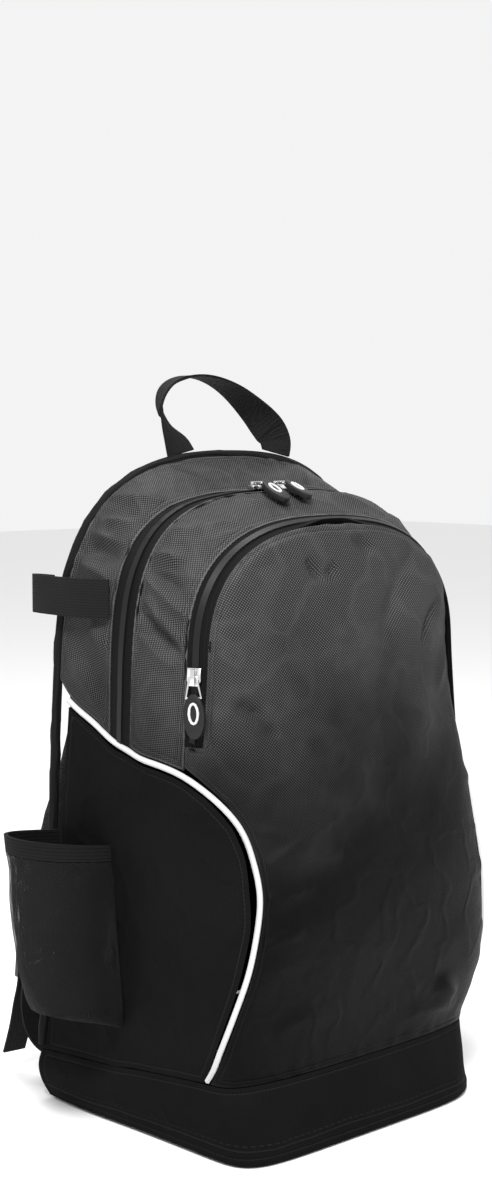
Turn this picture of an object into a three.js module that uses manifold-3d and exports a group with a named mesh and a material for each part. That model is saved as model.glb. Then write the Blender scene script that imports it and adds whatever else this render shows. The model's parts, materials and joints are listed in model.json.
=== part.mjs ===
// A soft sports backpack that stands on its base, millimetres, +Z up, front towards -Y.
// The origin is the middle of the base's underside, on the floor.
import * as THREE from 'three';
import { mergeVertices } from 'three/addons/utils/BufferGeometryUtils.js';
import Module from 'manifold-3d';

const wasm = await Module();
wasm.setup();

// Driving sizes of the body
const bagHeight = 474; // floor to the top of the back seam
const bagWidth = 284; // across the shoulders
const bagDepth = 204; // base on the floor, back to front
const baseWidth = 236; // base on the floor, side to side
const sideSetBack = 0.2; // of the right side panel's front edge, as a share of the way round the side
const bagLean = 4; // how far the shoulders hang over to the left

// Walls and clearances
const fabricWall = 1.6;
const baseWall = 2.4;
const backPadding = 9;
const tapeWall = 1;
const seamGap = 0.5;
const fitGap = 0.35; // between a part and what it is sewn to or lies on
const pipingGap = 0.7; // between the piping and the cloth's edges beside it

// Piping, zips and their pulls
const pipingRadius = 2;
const bindingRadius = 2.4; // of the bound seam around the back panel
const chainWidth = 5;
const chainRise = 0.8; // of the chain over the cloth
const chainWall = 2.2;
const tapeSink = 0.4;
const sliderLength = 12;
const sliderWidth = 9.5;
const sliderHeight = 2.6;
const bailLength = 11;
const bailWidth = 3;
const bailHeight = 3;
const linkLength = 15;
const linkWidth = 12;
const linkWire = 1.3;
const linkBite = 4; // of the link that is inside the tab
const tabLength = 30;
const tabWidth = 15;
const tabThickness = 3.6;
const ringLength = 15;
const ringWidth = 8;
const ringBand = 1.7;
const ringSink = 0.8;
const ringRaise = 0.7;

// Webbing, pockets and straps
const webbingWall = 1.8;
const handleWebbing = 25;
const handleSpan = 94; // between the middles of the handle's two ends
const handleRise = 57;
const handleBack = 27; // how far the handle's top hangs back
const batLoopWebbing = 27;
const batLoopStand = 8; // clear space between the loop and the gusset
const pocketStand = 62; // of the open pocket's rim from the side panel
const pocketWall = 1.5;
const pocketGap = 1.9; // between the pocket's sewn edge and the side panel
const pocketBinding = 12;
const bindingWall = 2.6;
const strapStand = 50; // of the hanging strap behind the back seam
const strapWidth = 62;
const strapPadding = 11;
const strapWebbing = 20;
const webbingSewn = 19; // height at which the lower webbing is sewn to the base
const webbingTwist = 0.35; // how far the lower webbing turns outward on its way up
const webbingAt = 0.78; // its place across, as a share of half the base's width
const lockWidth = 29;
const lockLength = 25;
const lockThickness = 4.4;
const lockBar = 4.2;
const lockDrop = 9; // of the lock's upper edge under the pad
const loopClear = 2.7; // between the lock's loop and the pad
const loopPinch = 0.3;

// Ribs of the body, from the back seam forward to the front panel's seam. along places a rib on the
// band from 0 to 1. zSeam is the height of the base seam in millimetres. The y columns are shares of
// bagDepth, wSeam and wBelly of half the base's width, wShoulder of half the bag's width and the
// other heights of bagHeight. square rounds the arch: 2 is an ellipse.
const ribs = {
  back: {
    along: 0, ySeam: 0.53, yTop: 0.24, wSeam: 1.13, wBelly: 1.14, wShoulder: 0.995,
    zSeam: 38, zShoulder: 0.735, zTop: 1.0, square: 2.7,
  },
  mainRear: {
    along: 0.32, ySeam: 0.13, yTop: 0.022, wSeam: 1.08, wBelly: 1.14, wShoulder: 0.972,
    zSeam: 43, zShoulder: 0.69, zTop: 0.947, square: 3.3,
  },
  mainFront: {
    along: 0.44, ySeam: 0.05, yTop: -0.085, wSeam: 1.07, wBelly: 1.14, wShoulder: 0.96,
    zSeam: 46, zShoulder: 0.685, zTop: 0.947, square: 3.3,
  },
  frontRear: {
    along: 0.87, ySeam: -0.265, yTop: -0.27, wSeam: 1.03, wBelly: 1.14, wShoulder: 0.886,
    zSeam: 52, zShoulder: 0.705, zTop: 0.912, square: 2.6,
  },
  frontEdge: {
    along: 1, ySeam: -0.33, yTop: -0.325, wSeam: 1.02, wBelly: 1.13, wShoulder: 0.838,
    zSeam: 53, zShoulder: 0.705, zTop: 0.9, square: 2.6,
  },
};
const bellyUp = 0.27; // where the belly is, as a share of the way up to the shoulder

// How far the front panel stands forward of its seam, as shares of bagDepth, and how square its
// level sections are, at shares of the way from the base seam up to the panel's top.
const crown = [
  { up: 0, out: 0.13, square: 3.1 },
  { up: 0.12, out: 0.17, square: 3 },
  { up: 0.3, out: 0.21, square: 2.7 },
  { up: 0.6, out: 0.18, square: 2.25 },
  { up: 0.8, out: 0.13, square: 2.2 },
  { up: 0.93, out: 0.07, square: 2.2 },
  { up: 1, out: 0.012, square: 2.2 },
];
const footFlare = 11; // how far the base's back corners spread on the floor
const footSquare = 9; // squareness of the base's corners on the floor

// The piping's line on the left side: along runs 0 to 1 over the band and 1 to 2 from the panel's
// seam to its middle, up is the share of the half arch from the base seam.
const pipingLine = [
  { along: 0.0, up: 0.525 },
  { along: 0.08, up: 0.503 },
  { along: 0.26, up: 0.481 },
  { along: 0.35, up: 0.463 },
  { along: 0.51, up: 0.456 },
  { along: 0.74, up: 0.457 },
  { along: 0.93, up: 0.45 },
  { along: 1.1, up: 0.438 },
  { along: 1.27, up: 0.412 },
  { along: 1.41, up: 0.367 },
  { along: 1.48, up: 0.295 },
  { along: 1.45, up: 0.206 },
  { along: 1.32, up: 0.115 },
  { along: 1.08, up: 0.037 },
  { along: 0.95, up: 0.0 },
];

const lerp = THREE.MathUtils.lerp;
const clamp = THREE.MathUtils.clamp;
const smooth = (v) => v * v * (3 - 2 * v);
const vec = (x, y, z) => new THREE.Vector3(x, y, z);
const quarter = Math.PI / 2;

// Value of a named column at `at`, between the table's rows.
function fromTable(table, key, column, at) {
  let i = 1;
  while (i < table.length - 1 && table[i][key] < at) i += 1;
  const a = table[i - 1];
  const b = table[i];
  const share = clamp((at - a[key]) / (b[key] - a[key]), 0, 1);
  const before = table[Math.max(i - 2, 0)];
  const after = table[Math.min(i + 1, table.length - 1)];
  const slopeA = (b[column] - before[column]) / (b[key] - before[key]) * (b[key] - a[key]);
  const slopeB = (after[column] - a[column]) / (after[key] - a[key]) * (b[key] - a[key]);
  const s2 = share * share;
  const s3 = s2 * share;
  return (2 * s3 - 3 * s2 + 1) * a[column] + (s3 - 2 * s2 + share) * slopeA
    + (3 * s2 - 2 * s3) * b[column] + (s3 - s2) * slopeB;
}

// One rib's left half as points from the base seam to the top.
function ribLine(rib) {
  const zShoulder = rib.zShoulder * bagHeight;
  const zTop = rib.zTop * bagHeight;
  const widths = [
    { up: 0, half: rib.wSeam * baseWidth / 2 },
    { up: bellyUp, half: rib.wBelly * baseWidth / 2 },
    { up: 1, half: rib.wShoulder * bagWidth / 2 },
  ];
  const steps = 60;
  const line = [];
  for (let i = 0; i <= steps; i += 1) {
    const h = i / steps;
    line.push(vec(-fromTable(widths, 'up', 'half', h), 0, lerp(rib.zSeam, zShoulder, h)));
  }
  for (let i = 1; i <= 2 * steps; i += 1) {
    const a = quarter * smooth(i / (2 * steps));
    const x = widths[2].half * Math.cos(a) ** (2 / rib.square);
    const z = lerp(zShoulder, zTop, Math.sin(a) ** (2 / rib.square));
    line.push(vec(-(i === 2 * steps ? 0 : x), 0, z));
  }
  for (const p of line) {
    const up = (p.z - rib.zSeam) / (bagHeight - rib.zSeam);
    p.y = bagDepth * lerp(rib.ySeam, rib.yTop, up);
  }
  return line;
}

function evenly(points) {
  const far = [0];
  for (let i = 1; i < points.length; i += 1) far.push(far[i - 1] + points[i].distanceTo(points[i - 1]));
  return (share) => {
    const want = clamp(share, 0, 1) * far[far.length - 1];
    let i = 1;
    while (i < points.length - 1 && far[i] < want) i += 1;
    return points[i - 1].clone().lerp(points[i], clamp((want - far[i - 1]) / (far[i] - far[i - 1]), 0, 1));
  };
}

const ribList = Object.values(ribs).map((rib) => ({ ...rib, at: evenly(ribLine(rib)) }));
const frontEdge = ribList[ribList.length - 1];

// Between two sewn ribs the cloth stands out a little: share of the gap, per pair of ribs.
const pillow = [0.035, 0, 0.05, 0];

// The body's left half. along 0 is the back seam, 1 the front panel's seam and 2 its middle; up 0 is
// the base seam and 1 the top of the arch.
function plainSkin(along, up) {
  if (along > 1) {
    const edge = frontEdge.at(up);
    const a = (along - 1) * quarter;
    const high = (edge.z - frontEdge.zSeam) / (frontEdge.zTop * bagHeight - frontEdge.zSeam);
    const out = bagDepth * fromTable(crown, 'up', 'out', high);
    const square = fromTable(crown, 'up', 'square', high);
    const x = along >= 2 ? 0 : edge.x * Math.cos(a) ** (2 / square);
    return vec(x, edge.y - out * Math.sin(a) ** (2 / square), edge.z);
  }
  let i = 1;
  while (i < ribList.length - 1 && ribList[i].along < along) i += 1;
  const a = ribList[i - 1];
  const b = ribList[i];
  const share = clamp((along - a.along) / (b.along - a.along), -0.1, 1);
  const pa = a.at(up);
  const pb = b.at(up);
  const out = pillow[i - 1] * pa.distanceTo(pb) * Math.sin(Math.PI * clamp(share, 0, 1));
  const edge = smooth(clamp(up * 6, 0, 1));
  const away = vec(pa.x, 0, (pa.z - bagHeight / 2) * 0.6).normalize();
  return pa.lerp(pb, share).addScaledVector(away, out * edge);
}

function normalOf(surface, u, v, du = 0.02, dv = 0.012) {
  const along = surface(u + du, v).sub(surface(u - du, v));
  const up = surface(u, v + dv).sub(surface(u, v - dv));
  return along.cross(up).normalize();
}

// Folds and dents of the cloth. side is -1 left, 1 right or 0 both, along and up place the middle,
// turn is its direction in degrees from level, long and wide are shares of bagHeight and out is a
// share of bagDepth, outwards if positive.
const folds = [
  { side: 0, along: 0.66, up: 0.53, turn: -48, long: 0.14, wide: 0.03, out: 0.022 },
  { side: 0, along: 0.62, up: 0.46, turn: -45, long: 0.13, wide: 0.028, out: 0.022 },
  { side: 0, along: 0.66, up: 0.62, turn: -40, long: 0.12, wide: 0.035, out: -0.018 },
  { side: 0, along: 0.6, up: 0.39, turn: -50, long: 0.1, wide: 0.03, out: -0.016 },
  { side: 0, along: 0.16, up: 0.72, turn: -15, long: 0.13, wide: 0.03, out: -0.02 },
  { side: 0, along: 0.18, up: 0.56, turn: -35, long: 0.12, wide: 0.03, out: -0.018 },
  { side: -1, along: 0.12, up: 0.9, turn: -80, long: 0.22, wide: 0.028, out: -0.018 },
  { side: -1, along: 1.5, up: 0.36, turn: 18, long: 0.17, wide: 0.045, out: -0.026 },
  { side: -1, along: 1.6, up: 0.2, turn: 40, long: 0.2, wide: 0.03, out: 0.018 },
  { side: -1, along: 1.66, up: 0.25, turn: 35, long: 0.2, wide: 0.03, out: -0.016 },
  { side: -1, along: 1.72, up: 0.64, turn: 70, long: 0.1, wide: 0.035, out: -0.02 },
  { side: 1, along: 1.5, up: 0.55, turn: -62, long: 0.28, wide: 0.035, out: -0.026 },
  { side: 1, along: 1.28, up: 0.45, turn: -70, long: 0.2, wide: 0.04, out: 0.018 },
  { side: 1, along: 1.5, up: 0.2, turn: 12, long: 0.25, wide: 0.05, out: -0.018 },
  { side: 1, along: 1.2, up: 0.17, turn: 5, long: 0.35, wide: 0.14, out: 0.03 },
  { side: 1, along: 1.15, up: 0.52, turn: 80, long: 0.3, wide: 0.1, out: -0.03 },
  { side: 0, along: 0.55, up: 0.1, turn: 70, long: 0.13, wide: 0.035, out: 0.02 },
  { side: 0, along: 0.2, up: 0.07, turn: 60, long: 0.1, wide: 0.035, out: -0.022 },
];

function foldOut(point, side, along, up) {
  let out = 0;
  for (const fold of folds) {
    if (fold.side !== 0 && fold.side !== side) continue;
    const middle = plainSkin(fold.along, fold.up);
    const n = normalOf(plainSkin, fold.along, fold.up);
    const level = vec(n.y, -n.x, 0).normalize();
    const rise = n.clone().cross(level);
    const turn = THREE.MathUtils.degToRad(fold.turn);
    const d = point.clone().sub(middle);
    const l = d.dot(level) * Math.cos(turn) + d.dot(rise) * Math.sin(turn);
    const w = -d.dot(level) * Math.sin(turn) + d.dot(rise) * Math.cos(turn);
    const depth = d.dot(n) / (0.1 * bagHeight);
    const size = Math.exp(-((l / (fold.long * bagHeight / 2)) ** 2) - (w / (fold.wide * bagHeight)) ** 2 - depth ** 2);
    out += fold.out * bagDepth * size;
  }
  return out;
}

// The body's surface with its folds, on the left (side -1) or the right (side 1).
// On the right the side panel ends further back than on the left.
function rightShift(along, up) {
  const rise = smooth(clamp((along - 0.5) / 0.6, 0, 1)) * (1 - smooth(clamp((along - 1.45) / 0.55, 0, 1)));
  return sideSetBack * rise * (1 - smooth(clamp((up - 0.34) / 0.12, 0, 1)));
}

function skin(side, place, up) {
  const along = side > 0 ? place - rightShift(place, up) : place;
  const point = plainSkin(along, up);
  const seams = ribList.map((rib) => Math.abs(rib.along - along));
  const free = smooth(clamp(Math.min(...seams) / 0.08, 0, 1));
  const low = smooth(clamp(up / 0.03, 0, 1));
  const normal = normalOf(plainSkin, along, clamp(up, 0.012, 0.985));
  point.addScaledVector(normal, foldOut(point, side, along, up) * (along < 1 ? free : 1) * low);
  if (side > 0) {
    point.x = -point.x;
    normal.x = -normal.x;
  }
  point.x -= leanAt(point.z);
  return { point, normal };
}

const leanAt = (z) => bagLean * smooth(clamp((z - 90) / (0.72 * bagHeight - 90), 0, 1));

// A closed wall from rows of outer points and rows of inner points.
function shell(outer, inner) {
  const many = outer.length;
  const wide = outer[0].length;
  const vertices = [...outer, ...inner].flat().flatMap((p) => [p.x, p.y, p.z]);
  const at = (layer, i, j) => layer * many * wide + i * wide + j;
  const faces = [];
  const quad = (a, b, c, d) => faces.push(a, b, c, a, c, d);
  for (let i = 0; i < many - 1; i += 1) for (let j = 0; j < wide - 1; j += 1) {
    quad(at(0, i, j), at(0, i, j + 1), at(0, i + 1, j + 1), at(0, i + 1, j));
    quad(at(1, i, j), at(1, i + 1, j), at(1, i + 1, j + 1), at(1, i, j + 1));
  }
  for (let i = 0; i < many - 1; i += 1) {
    quad(at(0, i, 0), at(0, i + 1, 0), at(1, i + 1, 0), at(1, i, 0));
    quad(at(0, i + 1, wide - 1), at(0, i, wide - 1), at(1, i, wide - 1), at(1, i + 1, wide - 1));
  }
  for (let j = 0; j < wide - 1; j += 1) {
    quad(at(0, 0, j + 1), at(0, 0, j), at(1, 0, j), at(1, 0, j + 1));
    quad(at(0, many - 1, j), at(0, many - 1, j + 1), at(1, many - 1, j + 1), at(1, many - 1, j));
  }
  return meshOf(vertices, faces);
}

// A wall whose outer points, each with its normal, are pushed in by its thickness.
function wall(rows, thickness, sink = 0) {
  const layer = (depth) => rows.map((row) => row.map((s) => s.point.clone().addScaledVector(s.normal, -depth)));
  return shell(layer(sink), layer(sink + thickness));
}

function meshOf(vertices, faces) {
  const geometry = new THREE.BufferGeometry();
  geometry.setAttribute('position', new THREE.Float32BufferAttribute(vertices, 3));
  geometry.setIndex(faces);
  return outward(geometry);
}

// Turns a closed geometry's faces out if they point in.
function outward(geometry) {
  const p = geometry.attributes.position;
  const index = geometry.index.array;
  let volume = 0;
  for (let i = 0; i < index.length; i += 3) {
    const [a, b, c] = [0, 1, 2].map((k) => vec(p.getX(index[i + k]), p.getY(index[i + k]), p.getZ(index[i + k])));
    volume += a.dot(b.cross(c));
  }
  if (volume < 0) {
    for (let i = 0; i < index.length; i += 3) [index[i + 1], index[i + 2]] = [index[i + 2], index[i + 1]];
  }
  geometry.computeVertexNormals();
  return geometry;
}

function solidOf(geometry) {
  const bare = geometry.clone();
  bare.deleteAttribute('normal');
  bare.deleteAttribute('uv');
  const merged = mergeVertices(bare, 1e-4);
  return new wasm.Manifold(new wasm.Mesh({
    numProp: 3,
    vertProperties: Float32Array.from(merged.attributes.position.array),
    triVerts: Uint32Array.from(merged.index.array),
  }));
}

function geometryOf(solid) {
  const mesh = solid.getMesh();
  const geometry = new THREE.BufferGeometry();
  geometry.setAttribute('position', new THREE.Float32BufferAttribute(mesh.vertProperties, 3));
  geometry.setIndex(new THREE.BufferAttribute(mesh.triVerts, 1));
  geometry.computeVertexNormals();
  return geometry;
}

const joined = (...geometries) => geometryOf(geometries.map(solidOf).reduce((a, b) => a.add(b)));
const cut = (geometry, ...tools) => geometryOf(tools.map(solidOf).reduce((a, b) => a.subtract(b), solidOf(geometry)));

const materials = {
  ripstop: new THREE.MeshStandardMaterial({ color: 0x4a4a4b, roughness: 0.55, metalness: 0 }),
  canvas: new THREE.MeshStandardMaterial({ color: 0x19191a, roughness: 0.85, metalness: 0 }),
  padding: new THREE.MeshStandardMaterial({ color: 0x1c1c1d, roughness: 0.9, metalness: 0 }),
  tape: new THREE.MeshStandardMaterial({ color: 0x161617, roughness: 0.8, metalness: 0 }),
  chain: new THREE.MeshStandardMaterial({ color: 0x101011, roughness: 0.4, metalness: 0 }),
  piping: new THREE.MeshStandardMaterial({ color: 0xf0f0ee, roughness: 0.5, metalness: 0 }),
  webbing: new THREE.MeshStandardMaterial({ color: 0x131314, roughness: 0.75, metalness: 0 }),
  mesh: new THREE.MeshStandardMaterial({ color: 0x151516, roughness: 0.8, metalness: 0 }),
  metal: new THREE.MeshStandardMaterial({ color: 0xd4d4d6, roughness: 0.25, metalness: 1 }),
  rubber: new THREE.MeshStandardMaterial({ color: 0x1d1d1e, roughness: 0.6, metalness: 0 }),
  ring: new THREE.MeshStandardMaterial({ color: 0xe8e8e8, roughness: 0.4, metalness: 0 }),
  trim: new THREE.MeshStandardMaterial({ color: 0xb9b9ba, roughness: 0.8, metalness: 0 }),
  buckle: new THREE.MeshStandardMaterial({ color: 0x1a1a1b, roughness: 0.45, metalness: 0 }),
};

const backpack = new THREE.Group();

function add(name, geometry, material, parent = backpack) {
  const mesh = new THREE.Mesh(geometry, material);
  mesh.name = name;
  parent.add(mesh);
  return mesh;
}

// The piping's line as a curve, its place at a height and the height at which it crosses a rib.
const pipingCurve = new THREE.CatmullRomCurve3(pipingLine.map((p) => vec(p.along, p.up, 0)), false, 'centripetal');
const pipingDense = pipingCurve.getPoints(240);
const pipingTop = pipingDense[0].y;
const pipingTurn = pipingDense.reduce((best, p) => (p.x > best.x ? p : best));

function pipingAt(up) {
  for (let i = 1; i < pipingDense.length; i += 1) {
    const a = pipingDense[i - 1];
    const b = pipingDense[i];
    if (b.y <= up) return lerp(a.x, b.x, clamp((a.y - up) / (a.y - b.y), 0, 1));
  }
  return pipingDense[pipingDense.length - 1].x;
}

function pipingOver(along) {
  for (let i = 1; i < pipingDense.length && pipingDense[i - 1] !== pipingTurn; i += 1) {
    const a = pipingDense[i - 1];
    const b = pipingDense[i];
    if (b.x >= along) return lerp(a.y, b.y, clamp((along - a.x) / (b.x - a.x), 0, 1));
  }
  return pipingTurn.y;
}

// Room beside the piping, as a step along or up the skin.
function pipingRoom(along, up, upwards) {
  const d = 0.004;
  const here = plainSkin(along, up);
  const alongStep = plainSkin(along + d, up).sub(here);
  const upStep = plainSkin(along, up + d).sub(here);
  const nextUp = upwards ? pipingOver(along + d) : up + d;
  const nextAlong = upwards ? along + d : pipingAt(up + d);
  const way = plainSkin(nextAlong, nextUp).sub(here).normalize();
  const step = upwards ? upStep : alongStep;
  const slant = Math.max(0.4, step.clone().normalize().cross(way).length());
  return (pipingRadius + pipingGap + 0.3) / slant / (step.length() / d);
}

const seamStep = (along, up) => seamGap / 2 / (plainSkin(along + 0.01, up).distanceTo(plainSkin(along, up)) / 0.01);

// A band of the body from the left piping over the top to the right piping.
function bandWall(from, to, columns, rows, options = {}) {
  const { thickness = fabricWall, sink = 0, startUp = null } = options;
  const grid = [];
  for (let i = 0; i <= 2 * rows; i += 1) {
    const side = i <= rows ? -1 : 1;
    const share = i <= rows ? i / rows : 2 - i / rows;
    const row = [];
    for (let j = 0; j <= columns; j += 1) {
      const rough = lerp(from, to, j / columns);
      const start = startUp ?? pipingOver(rough) + pipingRoom(rough, pipingOver(rough), true);
      const up = lerp(start, 1, share);
      const along = rough + (j === 0 ? seamStep(rough, up) : 0) - (j === columns ? seamStep(rough, up) : 0);
      const s = skin(side, along, up);
      if (share === 1) s.point.x = 0;
      if (share === 1) s.normal.setX(0).normalize();
      row.push(s);
    }
    grid.push(row);
  }
  return wall(grid, thickness, sink);
}

const bodyRows = 19;
const seamUp = seamGap / bagHeight;
const padEdge = bindingRadius + fitGap; // room beside the bound seam around the back panel

const stepTo = (along, far) => far / (plainSkin(along + 0.01, 0.5).distanceTo(plainSkin(along, 0.5)) / 0.01);

add('back_gusset', bandWall(stepTo(0, padEdge + fitGap), ribs.mainRear.along, 5, bodyRows), materials.ripstop);
add('front_gusset', bandWall(ribs.mainFront.along, ribs.frontRear.along, 5, bodyRows), materials.ripstop);

// Zips: two tapes with the chain between them.
function zip(name, from, to, startUp, chainAt) {
  const width = plainSkin(from, 0.5).distanceTo(plainSkin(to, 0.5));
  const half = chainWidth / 2 / width * (to - from);
  const middle = lerp(from, to, chainAt);
  const tape = { thickness: tapeWall, sink: tapeSink, startUp };
  add(`${name}_tape_rear`, bandWall(from, middle - half, 1, bodyRows - 2, tape), materials.tape);
  add(`${name}_tape_front`, bandWall(middle + half, to, 1, bodyRows - 2, tape), materials.tape);
  const chain = { thickness: chainWall, sink: -chainRise, startUp };
  add(`${name}_chain`, bandWall(middle - half, middle + half, 1, bodyRows - 2, chain), materials.chain);
  return middle;
}

const frontZipEnd = 0.505;
const mainChain = zip('main_zip', ribs.mainRear.along, ribs.mainFront.along, null, 0.5);
const frontChain = zip('front_zip', ribs.frontRear.along, ribs.frontEdge.along, frontZipEnd, 0.42);

// The front panel, sewn to the front zip, below it to the gusset, and below that to the pipings.
function panelEdge(up) {
  const zipSide = ribs.frontEdge.along + seamStep(1, up);
  if (up >= frontZipEnd - 1e-6) return zipSide;
  const low = pipingAt(up) + pipingRoom(pipingAt(up), up, false);
  const seam = ribs.frontRear.along + seamStep(0.86, up);
  return up < pipingOver(ribs.frontRear.along) ? low : seam;
}

function frontPanel() {
  const ups = [];
  const crossing = pipingOver(ribs.frontRear.along);
  for (let i = 0; i <= 11; i += 1) ups.push(lerp(seamUp, crossing - 0.012, i / 11));
  ups.push(crossing + 0.012, frontZipEnd - 0.01);
  for (let i = 0; i <= 10; i += 1) ups.push(lerp(frontZipEnd, 0.985, (i / 10) ** 0.9));
  const columns = 8;
  const grid = ups.map((up) => {
    const edge = panelEdge(up);
    const inner = 0.06 + (up < crossing ? Math.max(edge, 1) : 1);
    const row = [];
    for (const side of [-1, 1]) for (let j = 0; j <= columns; j += 1) {
      if (side > 0 && j === 0) continue;
      const k = side < 0 ? j : columns - j;
      const s = skin(side, k === 0 ? edge : lerp(inner, 2, (k - 1) / (columns - 1)), up);
      if (k === columns) s.normal.setX(0).normalize();
      row.push(s);
    }
    return row;
  });
  return wall(grid, fabricWall);
}
add('front_panel', frontPanel(), materials.ripstop);

// A point beside the piping on its side panel's side, share of the way along the line.
function besidePiping(share) {
  const p = pipingCurve.getPointAt(share);
  const t = pipingCurve.getTangentAt(share);
  const alongScale = plainSkin(p.x + 0.01, p.y).distanceTo(plainSkin(p.x - 0.01, p.y)) / 0.02;
  const upScale = plainSkin(p.x, p.y + 0.01).distanceTo(plainSkin(p.x, Math.max(p.y - 0.01, 0))) / (p.y > 0.01 ? 0.02 : 0.01 + p.y);
  const length = Math.hypot(t.x * alongScale, t.y * upScale);
  const room = (pipingRadius + pipingGap + 1.8) / length;
  return vec(p.x + t.y * upScale / alongScale * room, p.y - t.x * alongScale / upScale * room, 0);
}

// Side panels under the piping, between the bound seam, the base seam and both arms of the piping.
function sidePanel(side) {
  const rear = stepTo(0, padEdge);
  const corner = 0.62; // share of the piping's line where the panel's front corner is
  const top = (u) => besidePiping(lerp(0.045, corner, u));
  const front = (v) => {
    const p = besidePiping(lerp(0.992, corner, v));
    return vec(p.x, Math.max(p.y, seamUp), 0);
  };
  const low = (u) => vec(lerp(rear, front(0).x, u), seamUp, 0);
  const back = (v) => vec(rear, lerp(seamUp, top(0).y, v), 0);
  const grid = [];
  const columns = 15;
  const rows = 7;
  for (let i = 0; i <= rows; i += 1) {
    const v = i / rows;
    const row = [];
    for (let j = 0; j <= columns; j += 1) {
      const u = j / columns;
      const p = low(u).multiplyScalar(1 - v).addScaledVector(top(u), v)
        .addScaledVector(back(v), 1 - u).addScaledVector(front(v), u)
        .addScaledVector(low(0), -(1 - u) * (1 - v)).addScaledVector(front(0), -u * (1 - v))
        .addScaledVector(back(1), -(1 - u) * v).addScaledVector(top(1), -u * v);
      row.push(skin(side, Math.max(p.x, rear), p.y));
    }
    grid.push(row);
  }
  return wall(grid, fabricWall);
}

// A strip with flat faces along a line. wides are the directions across it; ends are square.
function strip(points, wides, width, thickness, roundness = 0) {
  const vertices = [];
  const corner = roundness * thickness;
  const profile = roundness === 0
    ? [[-0.5, -0.5, 0], [0.5, -0.5, 0], [0.5, 0.5, 0], [-0.5, 0.5, 0]]
    : [[-0.5, -0.5, 1], [0.5, -0.5, -1], [0.5, 0, 0], [0.5, 0.5, -1], [-0.5, 0.5, 1], [-0.5, 0, 0]];
  for (let i = 0; i < points.length; i += 1) {
    const along = points[Math.min(i + 1, points.length - 1)].clone().sub(points[Math.max(i - 1, 0)]);
    const wide = wides[i].clone().addScaledVector(along, -wides[i].dot(along) / along.lengthSq()).normalize();
    const thick = along.clone().cross(wide).normalize();
    const w = typeof width === 'function' ? width(i / (points.length - 1)) : width;
    for (const [a, b, inset] of profile) {
      const p = points[i].clone().addScaledVector(wide, a * w + inset * corner).addScaledVector(thick, b * thickness);
      vertices.push(p.x, p.y, p.z);
    }
  }
  const n = profile.length;
  const faces = [];
  for (let i = 0; i < points.length - 1; i += 1) for (let j = 0; j < n; j += 1) {
    const k = (j + 1) % n;
    faces.push(i * n + j, i * n + k, (i + 1) * n + k, i * n + j, (i + 1) * n + k, (i + 1) * n + j);
  }
  const last = (points.length - 1) * n;
  for (let j = 1; j < n - 1; j += 1) faces.push(0, j + 1, j, last, last + j, last + j + 1);
  return meshOf(vertices, faces);
}

function tube(points, radius, steps) {
  const section = new THREE.Shape().absarc(0, 0, radius, 0, 2 * Math.PI);
  return closed(new THREE.ExtrudeGeometry(section, {
    steps, curveSegments: 3, bevelEnabled: false, extrudePath: new THREE.CatmullRomCurve3(points),
  }));
}

function closed(geometry) {
  return geometryOf(solidOf(geometry));
}

function pipingTube(side) {
  const points = [];
  for (let i = 0; i <= 30; i += 1) {
    const p = pipingCurve.getPointAt(lerp(0.04, 0.99, i / 30));
    const s = skin(side, p.x, p.y);
    points.push(s.point.addScaledVector(s.normal, -fabricWall / 2 + pipingRadius * 0.45));
  }
  return tube(points, pipingRadius, 29);
}

for (const [word, side] of [['left', -1], ['right', 1]]) {
  add(`side_panel_${word}`, sidePanel(side), materials.canvas);
  add(`piping_${word}`, pipingTube(side), materials.piping);
}

// The padded panel against the wearer's back, inside the bound seam. across runs -1 left to 1 right.
const backSwell = 7;
const rimInset = bindingRadius + 3 * fitGap;
function rimPoint(side, up, inset) {
  const s = skin(side, 0, up);
  return s.point.addScaledVector(vec(s.normal.x, 0, s.normal.z).normalize(), -inset);
}

function backSkin(across, up, inset) {
  const left = rimPoint(-1, up, inset);
  const right = rimPoint(1, up, inset);
  const point = left.clone().lerp(right, (across + 1) / 2);
  const edge = (1 - Math.abs(across)) * (right.x - left.x) / 2;
  const below = ribs.back.zTop * bagHeight - point.z;
  const room = Math.min(edge, below, point.z - ribs.back.zSeam + 25);
  point.y += backSwell * Math.sin(quarter * clamp(room / 55, 0, 1));
  return point;
}

function backPanel() {
  const layer = (inset, depth) => {
    const grid = [];
    const rows = 14;
    for (let i = 0; i <= rows; i += 1) {
      const up = lerp(seamUp, 0.985, 1 - (1 - i / rows) ** 1.15);
      const row = [];
      for (let j = 0; j <= 8; j += 1) row.push(backSkin(j / 4 - 1, up, inset).add(vec(0, -depth, 0)));
      grid.push(row);
    }
    return grid;
  };
  return shell(layer(rimInset, 0), layer(rimInset + 0.7 * backPadding, backPadding));
}
add('back_panel', backPanel(), materials.padding);

// The bound seam between the back panel and the gusset.
function boundSeam() {
  const points = [];
  for (let i = 0; i <= 56; i += 1) {
    const side = i <= 28 ? -1 : 1;
    const share = i <= 28 ? i / 28 : 2 - i / 28;
    const up = lerp(0.008, 1, share);
    const s = skin(side, 0, up);
    if (share === 1) s.point.x = (s.point.x + skin(-side, 0, up).point.x) / 2;
    points.push(s.point.add(vec(s.normal.x, 0, s.normal.z).multiplyScalar(-0.2)));
  }
  return tube(points, bindingRadius, 42);
}
add('bound_seam', boundSeam(), materials.tape);

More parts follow.
